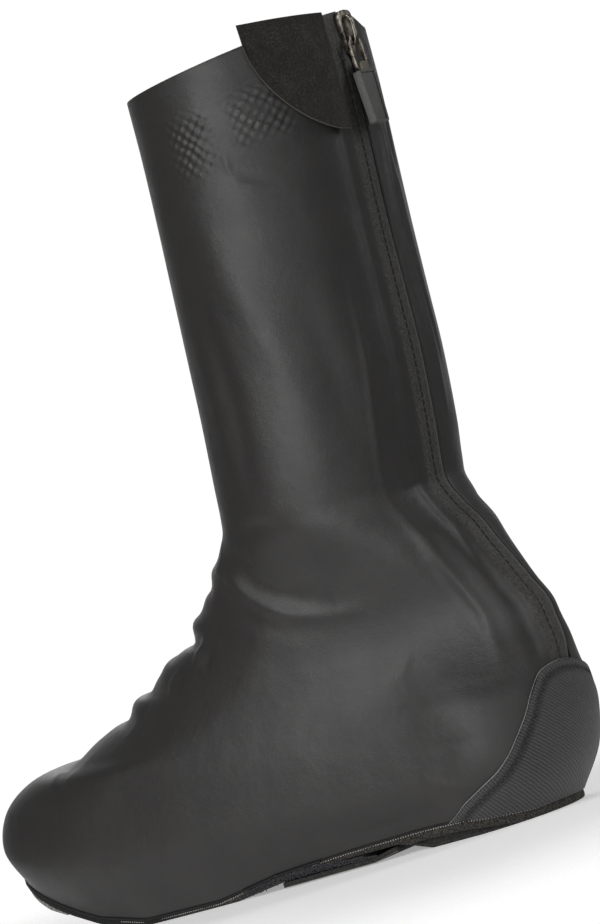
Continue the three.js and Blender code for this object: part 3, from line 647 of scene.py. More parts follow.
# The lips fold in at the slit, and the collar's edge rolls over the lining.
sunk = np.array(LIP_SINK)[None, :, None] * smooth((back_height - SLIT_BOTTOM + 2) / 3)[:, None, None]
first = outside[:, :1] + normal[:, :1] * sunk
last = outside[:, -1:] + normal[:, -1:] * sunk[:, ::-1]
sheet = np.concatenate([first, outside, last], axis=1)
ROLL_OVER = [(-0.15, 0.35), (-0.7, 0.55), (-1.25, 0.3), (-1.6, -0.5), (-1.75, -4.0), (-1.8, -12.0)]
sheet_normal = np.concatenate([normal[:, :1].repeat(4, 1), normal, normal[:, -1:].repeat(4, 1)], axis=1)
top = sheet[-1]
rolled = [top + sheet_normal[-1] * sink + np.array([0, 0, rise]) for sink, rise in ROLL_OVER]
HEM_TURN = [(-1.6, 2.5), (-1.3, 0.4), (-0.5, 0.0)]
turned = [sheet[0] + sheet_normal[0] * sink + np.array([0, 0, rise]) for sink, rise in HEM_TURN]
upper_points = np.concatenate([np.stack(turned), sheet, np.stack(rolled)])
rows, columns = upper_points.shape[:2]


def padded(values):
    """A value of the outer face, carried on over the folded lips, the hem and the rolled collar."""
    return np.pad(values, ((len(HEM_TURN), len(ROLL_OVER)), (len(LIP_SINK), len(LIP_SINK))), mode="edge")


upper = shell_piece(
    "upper_shell",
    upper_points,
    grid_faces(rows, columns),
    coated,
    uv=np.stack([padded(walked), padded(from_rim)], -1),
    swap=["upper"],
)
for name, values in (("facing", facing), ("grip", grip), ("lip_worn", lip_worn)):
    hold(upper, name, padded(values))

# The lining: a thin brushed jersey laminated to the fabric's inside. It shows down the collar.
lining_cloth, nap = speckled(
    "brushed_lining", (0.03, 0.028, 0.028), 0.95, (900, 4), (0.35, 0.7),
    (0.018, 0.017, 0.017), (0.055, 0.052, 0.05), 0.0005, Sheen_Weight=0.25, Sheen_Roughness=0.6,
)
LINING_ROWS, LINING_COLUMNS, LINING_DEPTH, LINING_SLIT = 150, 190, -1.95, 2.6
lining_levels = steady(0.3, LINING_ROWS)
lining_slit = LINING_SLIT * smooth((skin(lining_levels, 0.0)[:, 2] - SLIT_BOTTOM) / 4)
lining_edge = turn_at(lining_levels, lining_slit)[:, None]
lining_around = lining_edge + (1 - 2 * lining_edge) * np.linspace(0, 1, LINING_COLUMNS)
lining_level = np.broadcast_to(lining_levels[:, None], lining_around.shape)
lining_level = np.minimum(lining_level, COLLAR - 0.25)
lining_fold = folded(skin(lining_level, lining_around))
shell_piece(
    "lining",
    off(lining_level, lining_around, LINING_DEPTH + np.minimum(lining_fold, 0)),
    grid_faces(LINING_ROWS, LINING_COLUMNS)[:, ::-1],
    lining_cloth,
)

# The zip: two woven tapes glued behind the slit, with a coil of nylon teeth on their edges.
TAPE_DEPTH, TAPE_FROM, TAPE_TO, TAPE_WALL, COIL_DEPTH = -2.45, 1.2, 12.6, 0.6, -1.95
TOOTH_PITCH, TOOTH_REACH, TOOTH_HEEL, TOOTH_RADIUS = 1.27, 1.75, 0.45, 0.5
ZIP_TOP = 299.0
tape_cloth = finish("zip_tape", (0.012, 0.012, 0.013), 0.8)
tape_place = place_of(tape_cloth, "cloth")
rib_inputs = {"Vector": tape_place, "Scale": 3.2, "Distortion": 0.4}
rib = node(tape_cloth, "TexWave", rib_inputs, bands_direction="Y")
set_inputs(tape_cloth, Normal=relief(tape_cloth, rib, 0.0002))


def beside_zip(levels, sideways, distance):
    """Points sideways from the back's middle line, minus on the outer side of the foot."""
    turn = turn_at(levels, np.abs(sideways))
    return off(levels, np.where(np.asarray(sideways) < 0, turn, 1 - turn), np.full(turn.shape, distance))


def threads(name, starts, ends, radius, material, slot, swap=()):
    """Short round threads or teeth between pairs of points, as one joined mesh."""
    starts, ends = np.asarray(starts, float), np.asarray(ends, float)
    way = unit(ends - starts)
    side = unit(np.cross(way, np.where(np.abs(way[:, 2:]) > 0.9, [[1.0, 0, 0]], [[0, 0, 1.0]])))
    third = np.cross(way, side)
    turns = np.linspace(0, 2 * np.pi, 6, endpoint=False)
    rings = []
    for share, full in ((0.0, 0.4), (0.14, 0.88), (0.5, 1.0), (0.86, 0.88), (1.0, 0.4)):
        middle = starts + (ends - starts) * share
        rings.append([middle + radius * full * (math.cos(t) * side + math.sin(t) * third) for t in turns])
    points = np.array(rings).transpose(2, 0, 1, 3)
    one = hoop_faces(5, 6)
    faces = [tuple(30 * k + corner for corner in face) for k in range(len(starts)) for face in one]
    return shell_piece(name, points, faces, material, swap=swap)


zip_levels = row_levels[back_height > SLIT_BOTTOM - 3]
for side, side_name in ((-1, "outer"), (1, "inner")):
    across = side * np.linspace(TAPE_FROM, TAPE_TO, 9)
    columns = [beside_zip(zip_levels, np.full(zip_levels.shape, place), TAPE_DEPTH) for place in across]
    tape_points = np.stack(columns, 1)
    tape_map = np.stack(np.broadcast_arrays(across[None, :], walk(tape_points[:, 0])[:, None]), -1)
    tape = shell_piece(
        f"zip_tape_{side_name}_cloth", tape_points, grid_faces(*tape_points.shape[:2])[:, ::side],
        tape_cloth, uv=tape_map, swap=[f"zip_tape_{side_name}"],
    )
    thickness = tape.modifiers.new("thickness", "SOLIDIFY")
    thickness.thickness, thickness.offset = TAPE_WALL / 1000, 0

nylon = finish("zip_teeth", (0.01, 0.01, 0.01), 0.35)
coil_line = beside_zip(zip_levels, np.zeros(zip_levels.shape) - 1e-3, COIL_DEPTH)
coil_walk = walk(coil_line)
coil_end = np.interp(ZIP_TOP, coil_line[:, 2], coil_walk)
tooth_at = np.arange(6, coil_end, TOOTH_PITCH / 2)
tooth = at_walk(tooth_at, coil_walk, coil_line)
hand = np.where(np.arange(len(tooth)) % 2 == 0, 1.0, -1.0)[:, None]
threads(
    "zip_coil_teeth",
    tooth + hand * [0, TOOTH_REACH, 0],
    tooth - hand * [0, TOOTH_HEEL, 0],
    TOOTH_RADIUS,
    nylon,
    "zip_teeth",
    ["zip_coil"],
)

# The facing's stitching: one row of thick black thread, sewn through the facing's groove from the
# heel patch up to the collar. It holds the zip's tape on behind.
STITCH_LENGTH, STITCH_PITCH, STITCH_RADIUS = 2.3, 3.0, 0.36
thread = finish("sewing_thread", (0.004, 0.004, 0.004), 0.7)


def stitch_row(line, length, pitch):
    """The two ends of each stitch along a line of points."""
    walked_line = walk(line)
    begins = np.arange(0.4 * pitch, walked_line[-1] - length, pitch)
    return at_walk(begins, walked_line, line), at_walk(begins + length, walked_line, line)


stitched = (back_height > SLIT_BOTTOM + 3) & (back_height < 300)
groove_line = np.array([
    [np.interp(GROOVE, walked[i], outside[i, :, k]) for k in range(3)] for i in np.flatnonzero(stitched)
])
facing_row = stitch_row(groove_line, STITCH_LENGTH, STITCH_PITCH)
threads("facing_stitches", *facing_row, STITCH_RADIUS, thread, "coated_stretch")

# The slider, a die cast body with a bridge over its front. It rides the zip at the collar's peak.
SLIDER_LENGTH, SLIDER_WIDTH, PLATE_FROM, PLATE_WALL = 17.0, 10.0, 0.49, 1.4
BRIDGE_WIDTH, BRIDGE_TOP, BRIDGE_LENGTH, BRIDGE_RISE = 2.4, -2.4, 11.0, 3.2
gunmetal, tarnish = speckled(
    "gunmetal", (0.2, 0.18, 0.15), 0.28, (420, 4), (0.35, 0.65), (0.1, 0.09, 0.075), (0.33, 0.3, 0.26),
    0.0001, Metallic=1.0,
)
set_inputs(gunmetal, Roughness=ramp(gunmetal, tarnish, 0.3, 0.7, 0.22, 0.42))
collar_peak = skin(COLLAR, 0.0)
below_peak = skin(COLLAR - 1, 0.0)
lean = math.atan2(collar_peak[0] - below_peak[0], collar_peak[2] - below_peak[2])
slider_turn = np.array([
    [math.cos(lean), 0, math.sin(lean)], [0, 1, 0], [-math.sin(lean), 0, math.cos(lean)],
])


def from_slider(points):
    return np.asarray(points) @ slider_turn.T + collar_peak


def cast_plate(
    name, outline, x_from, x_to, material, place, body, round_by, dome=0.0, hole=None, swap=()
):
    """A plate across the back, from its outline as sideways and up, with rounded edges."""
    count = len(outline)
    inner = outline.mean(0) + 0.45 * (outline - outline.mean(0)) if hole is None else hole
    rings = [(outline, x_from), (outline, x_to), (inner, x_to + dome)]
    if hole is not None:
        rings.append((inner, x_from))
    points = np.concatenate([np.c_[np.full(count, x), ring] for ring, x in rings])
    faces = hoop_faces(len(rings), count, closed=hole is not None)
    made = shell_piece(name, place(points), faces, material, body, swap=swap)
    rounding = made.modifiers.new("rounding", "BEVEL")
    rounding.width, rounding.segments, rounding.limit_method = round_by / 1000, 3, "ANGLE"
    rounding.angle_limit = math.radians(35)
    return made


def rounded_outline(half_widths, heights):
    """A mirrored outline through half widths at heights, smoothed into a curve."""
    right_side = np.stack([half_widths, heights], -1)
    loop = np.concatenate([right_side, (right_side * [-1, 1])[::-1]])
    for _ in range(2):
        following = np.roll(loop, -1, axis=0)
        loop = np.stack([0.75 * loop + 0.25 * following, 0.25 * loop + 0.75 * following], 1).reshape(-1, 2)
    return loop


def swept_bar(name, path, half_width, half_depth, material, place, body):
    """A rounded bar along a path of outward and up, as wide as the zip's bridge or a wire."""
    path = np.array(path, float)
    fine = np.linspace(0, len(path) - 1, 6 * len(path))
    line = np.stack([np.interp(fine, np.arange(len(path)), path[:, k]) for k in range(2)], -1)
    for _ in range(3):
        line[1:-1] = 0.25 * line[:-2] + 0.5 * line[1:-1] + 0.25 * line[2:]
    ahead = unit(np.gradient(line, axis=0))
    turns = np.linspace(0, 2 * np.pi, 16, endpoint=False)
    across = half_width * np.sign(np.cos(turns)) * np.abs(np.cos(turns)) ** 0.6
    deep = half_depth * np.sign(np.sin(turns)) * np.abs(np.sin(turns)) ** 0.6
    points = np.zeros((len(line), 16, 3))
    points[..., 0] = line[:, None, 0] + deep * ahead[:, None, 1]
    points[..., 1] = across
    points[..., 2] = line[:, None, 1] - deep * ahead[:, None, 0]
    return shell_piece(name, place(points.reshape(-1, 3)), hoop_faces(len(line), 16), material, body)


slider_outline = rounded_outline(
    [0.0, 2.8, 3.2, 3.6, 4.9, 4.6, 3.4, 0.0], [-17.0, -16.8, -14.0, -9.5, -5.2, -1.6, -0.1, 0.2]
)
cast_plate(
    "slider_front", slider_outline, PLATE_FROM, PLATE_FROM + PLATE_WALL, gunmetal,
    from_slider, "shoe", 0.4, dome=0.05, swap=["zip_slider"],
)
cast_plate(
    "slider_back", slider_outline, -4.9, -3.6, gunmetal, from_slider, "shoe", 0.4,
)
cast_plate(
    "slider_post", rounded_outline([0.0, 1.4, 1.5, 0.0], [-3.4, -3.3, -0.9, -0.7]), -3.8, PLATE_FROM + 0.2,
    gunmetal, from_slider, "shoe", 0.2,
)
face = PLATE_FROM + PLATE_WALL
swept_bar(
    "slider_bridge",
    [(face - 0.2, BRIDGE_TOP), (face + 1.6, BRIDGE_TOP - 0.1), (face + BRIDGE_RISE - 0.4, BRIDGE_TOP - 1.8),
     (face + BRIDGE_RISE - 0.35, BRIDGE_TOP - 5.5), (face + BRIDGE_RISE - 0.4, BRIDGE_TOP - 9.4),
     (face + 1.7, BRIDGE_TOP - BRIDGE_LENGTH + 0.2), (face - 0.2, BRIDGE_TOP - BRIDGE_LENGTH)],
    BRIDGE_WIDTH / 2, 0.55, gunmetal, from_slider, "shoe",
)

# The pull: a stirrup link that hangs in the bridge, and a moulded grip closed over its lower bar.
LINK_LENGTH, LINK_WIDTH, LINK_WIRE = 13.5, 9.0, 1.3
GRIP_LENGTH, GRIP_WIDTH, GRIP_WALL = 21.0, 10.4, 3.4
pin = from_slider([[face + 1.07, 0, -10.99]])[0]


def from_pin(points):
    return np.asarray(points) + pin


def inset(outline, by):
    """A closed outline moved inwards by a distance."""
    ahead = unit(np.roll(outline, -1, axis=0) - np.roll(outline, 1, axis=0))
    middle = outline.mean(0)
    normal_in = np.stack([-ahead[:, 1], ahead[:, 0]], -1)
    facing_in = np.sign(((middle - outline) * normal_in).sum(1))[:, None]
    return outline + by * normal_in * facing_in


link_end = LINK_WIRE / 2 - LINK_LENGTH
link_outline = rounded_outline(
    [0.0, 2.6, 4.2, 4.5, 4.5, 4.0, 0.0], [0.65, 0.6, -1.2, -4.0, -11.0, link_end, link_end]
)
cast_plate(
    "pull_link_stirrup", link_outline, -0.65, 0.65, gunmetal, from_pin, "pull", 0.3,
    hole=inset(link_outline, LINK_WIRE), swap=["pull_link"],
)

moulded, pitting = speckled(
    "moulded_grip", (0.08, 0.078, 0.076), 0.5, (1500, 3), (0.35, 0.7),
    (0.068, 0.066, 0.064), (0.1, 0.098, 0.095), 0.00015,
)
grip_top = link_end - 0.35
grip_foot = grip_top - GRIP_LENGTH
grip_outline = rounded_outline(
    GRIP_WIDTH / 2 * np.array([0.0, 0.80, 0.84, 0.93, 1, 0.98, 0.9, 0.0]),
    [grip_foot, grip_foot + 0.1, grip_foot + 1.4, grip_top - 0.5 * GRIP_LENGTH,
     grip_top - 0.12 * GRIP_LENGTH, grip_top - 0.4, grip_top, grip_top],
)
cast_plate(
    "pull_grip_body", grip_outline, -GRIP_WALL / 2, GRIP_WALL / 2 - 0.45, moulded, from_pin,
    "pull", 0.35, swap=["pull_tab"],
)
cast_plate(
    "pull_grip_border", grip_outline, GRIP_WALL / 2 - 0.6, GRIP_WALL / 2, moulded, from_pin,
    "pull", 0.2, hole=inset(grip_outline, 1.0),
)
neck_outline = rounded_outline(
    [0.0, 2.5, 2.45, 2.3, 0.0],
    [grip_top - 0.6, grip_top - 0.5, grip_top + 1.8, link_end + 3.0, link_end + 3.1],
)
brown_grip = finish("moulded_neck", (0.12, 0.105, 0.075), 0.5)
cast_plate(
    "pull_grip_neck", neck_outline, -1.55, 1.55, brown_grip, from_pin, "pull", 0.3,
)

# The collar flap: brushed fleece that covers the slider when worn, here folded out beside the zip.
# It is cut from one piece of cloth with a raw edge that shows pale.
FLAP_WALL, FLAP_DROP, FLAP_RISE, FLAP_GAP = 1.5, 43.0, 8.0, 0.3
FLAP_NEAR, FLAP_FAR, FLAP_EDGE_RADIUS = 0.04, 0.152, 0.14
FLAP_ROWS, FLAP_COLUMNS = 120, 110
fleece = finish("brushed_flap", (0.02, 0.016, 0.012), 1.0, Sheen_Weight=0.12, Sheen_Roughness=0.5)
fleece_place = place_of(fleece)
fibres = grain(fleece, fleece_place, 1250, 5, 0.85)
matting = grain(fleece, fleece_place, 120, 4)
matted = sums(fleece, "ADD", fibres, sums(fleece, "MULTIPLY", matting, 0.25))
matted = sums(fleece, "ADD", matted, sums(fleece, "MULTIPLY", point_value(fleece, "scuff"), 0.035))
lit_fibre = ramp(fleece, matted, 0.6, 0.86, 0, 1)
set_inputs(
    fleece,
    Base_Color=tint(fleece, lit_fibre, (0.0085, 0.007, 0.0055), (0.07, 0.06, 0.048)),
    Normal=relief(fleece, fibres, 0.0006, relief(fleece, matting, 0.0012)),
)
cut_edge = finish("fleece_cut_edge", (0.1, 0.09, 0.078), 0.95)
share, down = np.meshgrid(np.linspace(0, 1, FLAP_COLUMNS), np.linspace(0, 1, FLAP_ROWS))
flap_turn = FLAP_NEAR + (FLAP_FAR - FLAP_NEAR) * share
rim_height = skin(COLLAR, flap_turn)[..., 2]
up = -FLAP_DROP * (1 - share**1.5) ** 0.61 * (1 - down) + FLAP_RISE * (0.2 + 0.8 * share) * down


def level_at(height, around):
    start, end = np.zeros_like(height), np.full_like(height, COLLAR)
    return halved(start, end, lambda level: skin(level, around)[..., 2] < height)


flap_level = np.where(up < 0, level_at(rim_height + up, flap_turn), COLLAR)
wave = 0.35 * np.sin(7 * share + 3 * down) + 0.25 * np.sin(13 * down - 5 * share)
lifted = 0.6 * smooth((0.25 - down) / 0.25) + 0.5 * smooth((share - 0.85) / 0.15) + 0.3 * wave
flap_sides = []
for reach in (FLAP_GAP + FLAP_WALL, FLAP_GAP):
    layer_points = off(flap_level, flap_turn, reach + np.maximum(lifted, -0.1))
    layer_points[..., 2] += np.maximum(up, 0)
    flap_sides.append(layer_points)
front_side, back_side = flap_sides
flap_points = np.concatenate([front_side.reshape(-1, 3), back_side.reshape(-1, 3)])
flap = shell_piece(
    "flap_fleece", flap_points, sheet_faces(FLAP_ROWS, FLAP_COLUMNS), fleece,
    swap=["collar_flap"],
)
# a faint ring is rubbed into the nap
SCUFF_RADIUS, SCUFF_WIDTH, SCUFF_AT = 11.0, 1.1, (0.6, 0.5)
scuff_middle = front_side[int(SCUFF_AT[0] * (FLAP_ROWS - 1)), int(SCUFF_AT[1] * (FLAP_COLUMNS - 1))]
from_scuff = np.linalg.norm(flap_points - scuff_middle, axis=1)
hold(flap, "scuff", np.exp(-(((from_scuff - SCUFF_RADIUS) / SCUFF_WIDTH) ** 2)))


def tube(name, line, radius, material, sides=8, closed=False):
    """A round cord or rolled edge of a given radius along a line of points."""
    line = np.asarray(line, float)
    ahead = unit(np.roll(line, -1, 0) - np.roll(line, 1, 0) if closed else np.gradient(line, axis=0))
    side = unit(np.cross(ahead, [0.31, 0.2, 0.93]))
    third = np.cross(ahead, side)
    turns = np.linspace(0, 2 * np.pi, sides, endpoint=False)
    thick = np.broadcast_to(radius, (len(line),))[:, None, None]
    ring = np.cos(turns)[None, :, None] * side[:, None] + np.sin(turns)[None, :, None] * third[:, None]
    points = line[:, None] + thick * ring
    return shell_piece(name, points, hoop_faces(len(line), sides, closed), material)


raw_line = np.concatenate([front_side[::-1, -1][:-1], front_side[0, ::-1]])
flap_edge = tube("flap_raw_edge", raw_line, FLAP_EDGE_RADIUS, cut_edge, sides=6)

# The heel patch: a hard-wearing coarse weave glued and zigzag stitched round the heel, with a raw
# edge that frays a little pale.
# share of the way round, level: from the inner side's hem over the back to the outer side's hem
PATCH_EDGE = [
    (-0.118, 0.0), (-0.106, 0.45), (-0.0965, 0.68), (-0.082, 1.0), (-0.0725, 1.3), (-0.066, 1.65),
    (-0.058, 2.1), (-0.0514, 2.65), (-0.046, 3.1), (-0.039, 3.37), (-0.022, 3.62), (-0.007, 3.9),
    (0.0205, 4.07), (0.0367, 3.96), (0.0458, 3.77), (0.0514, 3.08), (0.058, 2.42), (0.0661, 1.89),
    (0.0727, 1.5), (0.0823, 1.13), (0.0965, 0.77), (0.1062, 0.51), (0.1178, 0.0),
]
PATCH_ROWS, PATCH_COLUMNS, PATCH_STAND, PATCH_WALL = 110, 300, 1.0, 0.5
FRAY_STAND, FRAY_RADIUS, ZIGZAG_RADIUS = 0.62, 0.25, 0.36
ZIGZAG_FROM, ZIGZAG_TO, ZIGZAG_STEP, SEAM_DARKENING = 2.0, 4.6, 1.3, 0.75
patch_knots = np.array(PATCH_EDGE)
knot_walk = walk(skin(patch_knots[:, 1], patch_knots[:, 0]))
edge_walk = np.linspace(0, knot_walk[-1], PATCH_COLUMNS)
edge_around = np.interp(edge_walk, knot_walk, patch_knots[:, 0])
edge_level = np.interp(edge_walk, knot_walk, patch_knots[:, 1])
for _ in range(12):
    edge_around[1:-1] = (edge_around[:-2] + edge_around[1:-1] + edge_around[2:]) / 3
    edge_level[1:-1] = (edge_level[:-2] + edge_level[1:-1] + edge_level[2:]) / 3
patch_level = edge_level * np.linspace(0, 1, PATCH_ROWS)[:, None]
patch_around = np.broadcast_to(edge_around, patch_level.shape)
plain_patch = skin(patch_level, patch_around)
edge_line = plain_patch[-1]
from_edge = np.full(patch_level.shape, np.inf)
for k in range(0, PATCH_COLUMNS, 2):
    from_edge = np.minimum(from_edge, np.linalg.norm(plain_patch - edge_line[k], axis=-1))
stand = PATCH_STAND - 0.7 * (1 - smooth(from_edge / 1.0))
stand += 0.25 * np.sin(patch_around * 60) * np.sin(patch_level * 1.7) * smooth(from_edge / 8)
stand -= 0.3 * np.exp(-(((from_edge - (ZIGZAG_FROM + ZIGZAG_TO) / 2) / 1.5) ** 2))
patch_points = off(patch_level, patch_around, stand)
heel_turns = np.linspace(-0.13, 0.13, 300)
girth = walk(skin(1.5, heel_turns))
patch_map = np.stack([np.interp(patch_around, heel_turns, girth - girth[150]), plain_patch[..., 2]], -1)

WEAVE_PITCH, WEAVE_SLOPE = 1.05, math.radians(-38)
weave_cloth = finish("heel_weave", (0.03, 0.03, 0.033), 0.6, Sheen_Weight=0.1)
weave_place = place_of(weave_cloth, "cloth")
weave_waver = sums(weave_cloth, "MULTIPLY", grain(weave_cloth, weave_place, 2.2, 2), 5.0)
yarns = []
for slope in (WEAVE_SLOPE, WEAVE_SLOPE + math.radians(84)):
    step = 20 * math.pi / WEAVE_PITCH
    direction = (step * math.sin(slope), step * math.cos(slope), 0)
    phase = node(weave_cloth, "VectorMath", {0: weave_place, 1: direction}, operation="DOT_PRODUCT")
    waved = sums(weave_cloth, "ADD", phase.node.outputs["Value"], weave_waver)
    yarns.append(sums(weave_cloth, "COSINE", waved))
woven = sums(weave_cloth, "ADD", yarns[0], sums(weave_cloth, "MULTIPLY", yarns[1], 0.45))
woven_tint = tint(
    weave_cloth, ramp(weave_cloth, woven, -1.2, 1.4, 0, 1), (0.011, 0.011, 0.0115), (0.062, 0.061, 0.064)
)
sewn_down = tint(weave_cloth, point_value(weave_cloth, "seam"), woven_tint, (0.009, 0.009, 0.0095))
set_inputs(weave_cloth, Base_Color=sewn_down, Normal=relief(weave_cloth, woven, 0.00014))
heel_patch = shell_piece(
    "heel_patch_weave", patch_points, grid_faces(*patch_level.shape), weave_cloth, uv=patch_map,
    swap=["heel_patch"],
)
hold(heel_patch, "seam", SEAM_DARKENING * soft_window(from_edge, ZIGZAG_FROM, ZIGZAG_TO + 0.6, 0.8))
backing = heel_patch.modifiers.new("thickness", "SOLIDIFY")
backing.thickness, backing.offset = PATCH_WALL / 1000, -1
frayed = finish("heel_raw_edge", (0.3, 0.29, 0.28), 0.9)
raw_edge = off(edge_level, edge_around, np.full(PATCH_COLUMNS, FRAY_STAND))
tube("heel_patch_raw_edge", raw_edge, FRAY_RADIUS, frayed, sides=6)

edge_normal = outward(edge_level, edge_around)
edge_ahead = np.gradient(edge_line, axis=0)
edge_inward = unit(np.cross(edge_ahead, edge_normal))
edge_inward *= np.sign(((skin(1.5, 0.0) - edge_line) * edge_inward).sum(1))[:, None]
zigzag_at = np.arange(3.0, edge_walk[-1] - 3.0, ZIGZAG_STEP)
zigzag_depth = np.where(np.arange(len(zigzag_at)) % 2 == 0, ZIGZAG_FROM, ZIGZAG_TO)
zigzag = at_walk(zigzag_at, edge_walk, edge_line)
zigzag += zigzag_depth[:, None] * at_walk(zigzag_at, edge_walk, edge_inward)
nearest_point = [np.argmin(np.linalg.norm(patch_points.reshape(-1, 3) - point, axis=1)) for point in zigzag]
seat = patch_points.reshape(-1, 3)[nearest_point]
seat_normal = outward(patch_level.ravel()[nearest_point], patch_around.ravel()[nearest_point])
zigzag -= (((zigzag - seat) * seat_normal).sum(1) - 0.2)[:, None] * seat_normal
threads("heel_patch_stitches", zigzag[:-1], zigzag[1:], ZIGZAG_RADIUS, thread, "heel_weave")

# The sole: a shallow tray of woven webbing tucked inside the hem, open below for the shoe's cleat
# and its heel tread.
ARCH_LIFT, SOLE_WALL, EDGE_ROUND, CLOTH_GAP = 4.6, 1.4, 1.6, 0.35
# place along the foot, share of the arch's lift, share of the toe's spring, crown in the middle
SOLE_LINE = np.array([
    (-0.879, 0, 0.9, 0), (-0.832, 0, 0.75, -0.5), (-0.761, 0, 0.46, -0.5), (-0.68, 0, 0.14, 0),
    (-0.63, 0, 0, 0), (-0.44, 0, 0, 0), (-0.385, 1, 0, 0), (-0.28, 1, 0, 0.6), (-0.185, 1, 0, 0.4),
    (-0.14, 0, 0, 0), (0.05, 0, 0, 0),
])


def under_height(x, inward):
    arch, spring, crown = (np.interp(x / SHELL_LENGTH, SOLE_LINE[:, 0], SOLE_LINE[:, k]) for k in (1, 2, 3))
    return ARCH_LIFT * arch + TOE_SPRING * spring + ARCH_LIFT * crown * (1 - (1 - inward) ** 2)


def hem_in(around, distance):
    """Straight in from the hem by a distance, level with the floor."""
    flat = outward(np.zeros_like(around), around)
    flat[..., 2] = 0
    return skin(0.0, around) - unit(flat) * np.asarray(distance)[..., None]


def underside(around, inward, raise_by=0.0):
    edge = hem_in(around, np.full_like(around, EDGE_ROUND))
    other = hem_in(1 - around, np.full_like(around, EDGE_ROUND))
    point = edge + ((edge + other) / 2 - edge) * inward[..., None]
    point[..., 2] = under_height(point[..., 0], inward) + raise_by
    return point


webbing, strand = speckled(
    "edge_webbing", (0.016, 0.0155, 0.015), 0.85, (1100, 4, 0.7), (0.4, 0.7),
    (0.009, 0.009, 0.009), (0.05, 0.048, 0.045), 0.0006,
)
SOLE_COLUMNS, SOLE_ROWS = 300, 36
sole_turn = np.linspace(0, 1, SOLE_COLUMNS) + 0.012 * np.sin(4 * np.pi * np.linspace(0, 1, SOLE_COLUMNS))
inward = np.linspace(0, 1, SOLE_ROWS)[:, None]
sole_around = np.broadcast_to(sole_turn, (SOLE_ROWS, SOLE_COLUMNS))
sole_inward = np.broadcast_to(inward, sole_around.shape)
sole_points = underside(sole_around, sole_inward)
sole = shell_piece(
    "sole_panel", sole_points, grid_faces(SOLE_ROWS, SOLE_COLUMNS), webbing, swap=["sole"]
)
CLEAT_LENGTH, CLEAT_WIDTH, TREAD_LENGTH, TREAD_WIDTH = 48.0, 44.0, 28.0, 32.0
CUTTER_REACH, BINDING_RAISE, BINDING_RADIUS = 12, 0.3, 0.75
CLEAT_CENTRE = (-0.532 * SHELL_LENGTH, 0.4 * TOE_SWING)
TREAD_CENTRE = (-0.03 * SHELL_LENGTH - TREAD_LENGTH / 2, 0.0)


def opening_line(centre, length, width, count=120):
    """The rounded outline of an opening, at the height of the sole's underside there."""
    corner = width / 3
    turns = np.linspace(0, 2 * np.pi, count, endpoint=False)
    ways = np.stack([np.cos(turns), np.sin(turns)])
    straight = np.array([[length / 2 - corner], [width / 2 - corner]])
    x, y = np.clip(3 * ways, -1, 1) * straight + corner * ways + np.array(centre)[:, None]
    return np.stack([x, y, under_height(x, np.ones_like(x))], -1)


for opening_name, line in (
    ("cleat", opening_line(CLEAT_CENTRE, CLEAT_LENGTH, CLEAT_WIDTH)),
    ("tread", opening_line(TREAD_CENTRE, TREAD_LENGTH, TREAD_WIDTH)),
):
    cutter_points = np.concatenate([line - [0, 0, CUTTER_REACH], line + [0, 0, CUTTER_REACH]]) / 1000
    mesh = bpy.data.meshes.new(f"{opening_name}_cutter")
    mesh.from_pydata(cutter_points.tolist(), [], hoop_faces(2, len(line)))
    cutter = bpy.data.objects.new(f"{opening_name}_cutter", mesh)
    bpy.context.scene.collection.objects.link(cutter)
    bpy.context.view_layer.update()
    cut = sole.modifiers.new("opening", "BOOLEAN")
    cut.object, cut.operation, cut.solver = cutter, "DIFFERENCE", "EXACT"
    trimmed = bpy.data.meshes.new_from_object(sole.evaluated_get(bpy.context.evaluated_depsgraph_get()))
    sole.modifiers.remove(cut)
    sole.data = trimmed
    bpy.data.objects.remove(cutter)
    bound = line + [0, 0, BINDING_RAISE]
    tube(f"{opening_name}_opening_binding", bound, BINDING_RADIUS, thread, closed=True)
sole_depth = sole.modifiers.new("thickness", "SOLIDIFY")
sole_depth.thickness, sole_depth.offset = SOLE_WALL / 1000, -1

# The hem band: a knitted elastic sewn under the hem, of even depth at the arch and heel and turned
# under to a sliver round the forefoot, where its knit is painted near black as shade. At the heel the
# sole's side shows below it.
BAND_ROWS, BAND_COLUMNS, BAND_DEPTH = 14, 620, 4.5
FOREFOOT_FROM, FOREFOOT_FULL = 0.25, 0.3
band_turn = np.linspace(0, 1, BAND_COLUMNS)
band_turn = band_turn + 0.012 * np.sin(4 * np.pi * band_turn)
hem_line = skin(0.0, band_turn)
foot_edge = underside(band_turn, np.zeros_like(band_turn))
band_foot = np.maximum(foot_edge[:, 2], hem_line[:, 2] - BAND_DEPTH)
under_heel = smooth((band_foot - foot_edge[:, 2]) / 1.0)
lumps = 0.35 * np.sin(band_turn * 190) + 0.3 * np.sin(band_turn * 83 + 1.3) + 0.25 * np.sin(band_turn * 331)
band_rows = []
for share_down in np.linspace(0, 1, BAND_ROWS):
    turn_by = share_down * np.pi
    tucked = (0.9 + 1.6 * under_heel) * smooth(np.array(share_down - 0.75) / 0.25)
    out = 0.55 * math.sin(turn_by) * (1 + 0.5 * lumps) - tucked
    height = hem_line[:, 2] - 0.1 + (band_foot - hem_line[:, 2] + 0.1) * (1 - math.cos(turn_by)) / 2
    ring = hem_in(band_turn, -out + np.zeros_like(band_turn))
    ring[:, 2] = np.maximum(height, 0.02)
    band_rows.append(ring)
band_points = np.stack(band_rows[::-1])
knit = finish("hem_knit", (0.03, 0.026, 0.022), 0.95)
knit_place = place_of(knit)
loops = node(knit, "TexVoronoi", {"Vector": knit_place, "Scale": 1000})
speck = grain(knit, knit_place, 1300, 3, 0.7)
knit_tint = tint(knit, ramp(knit, speck, 0.42, 0.72, 0, 1), (0.012, 0.0105, 0.009), (0.085, 0.077, 0.066))
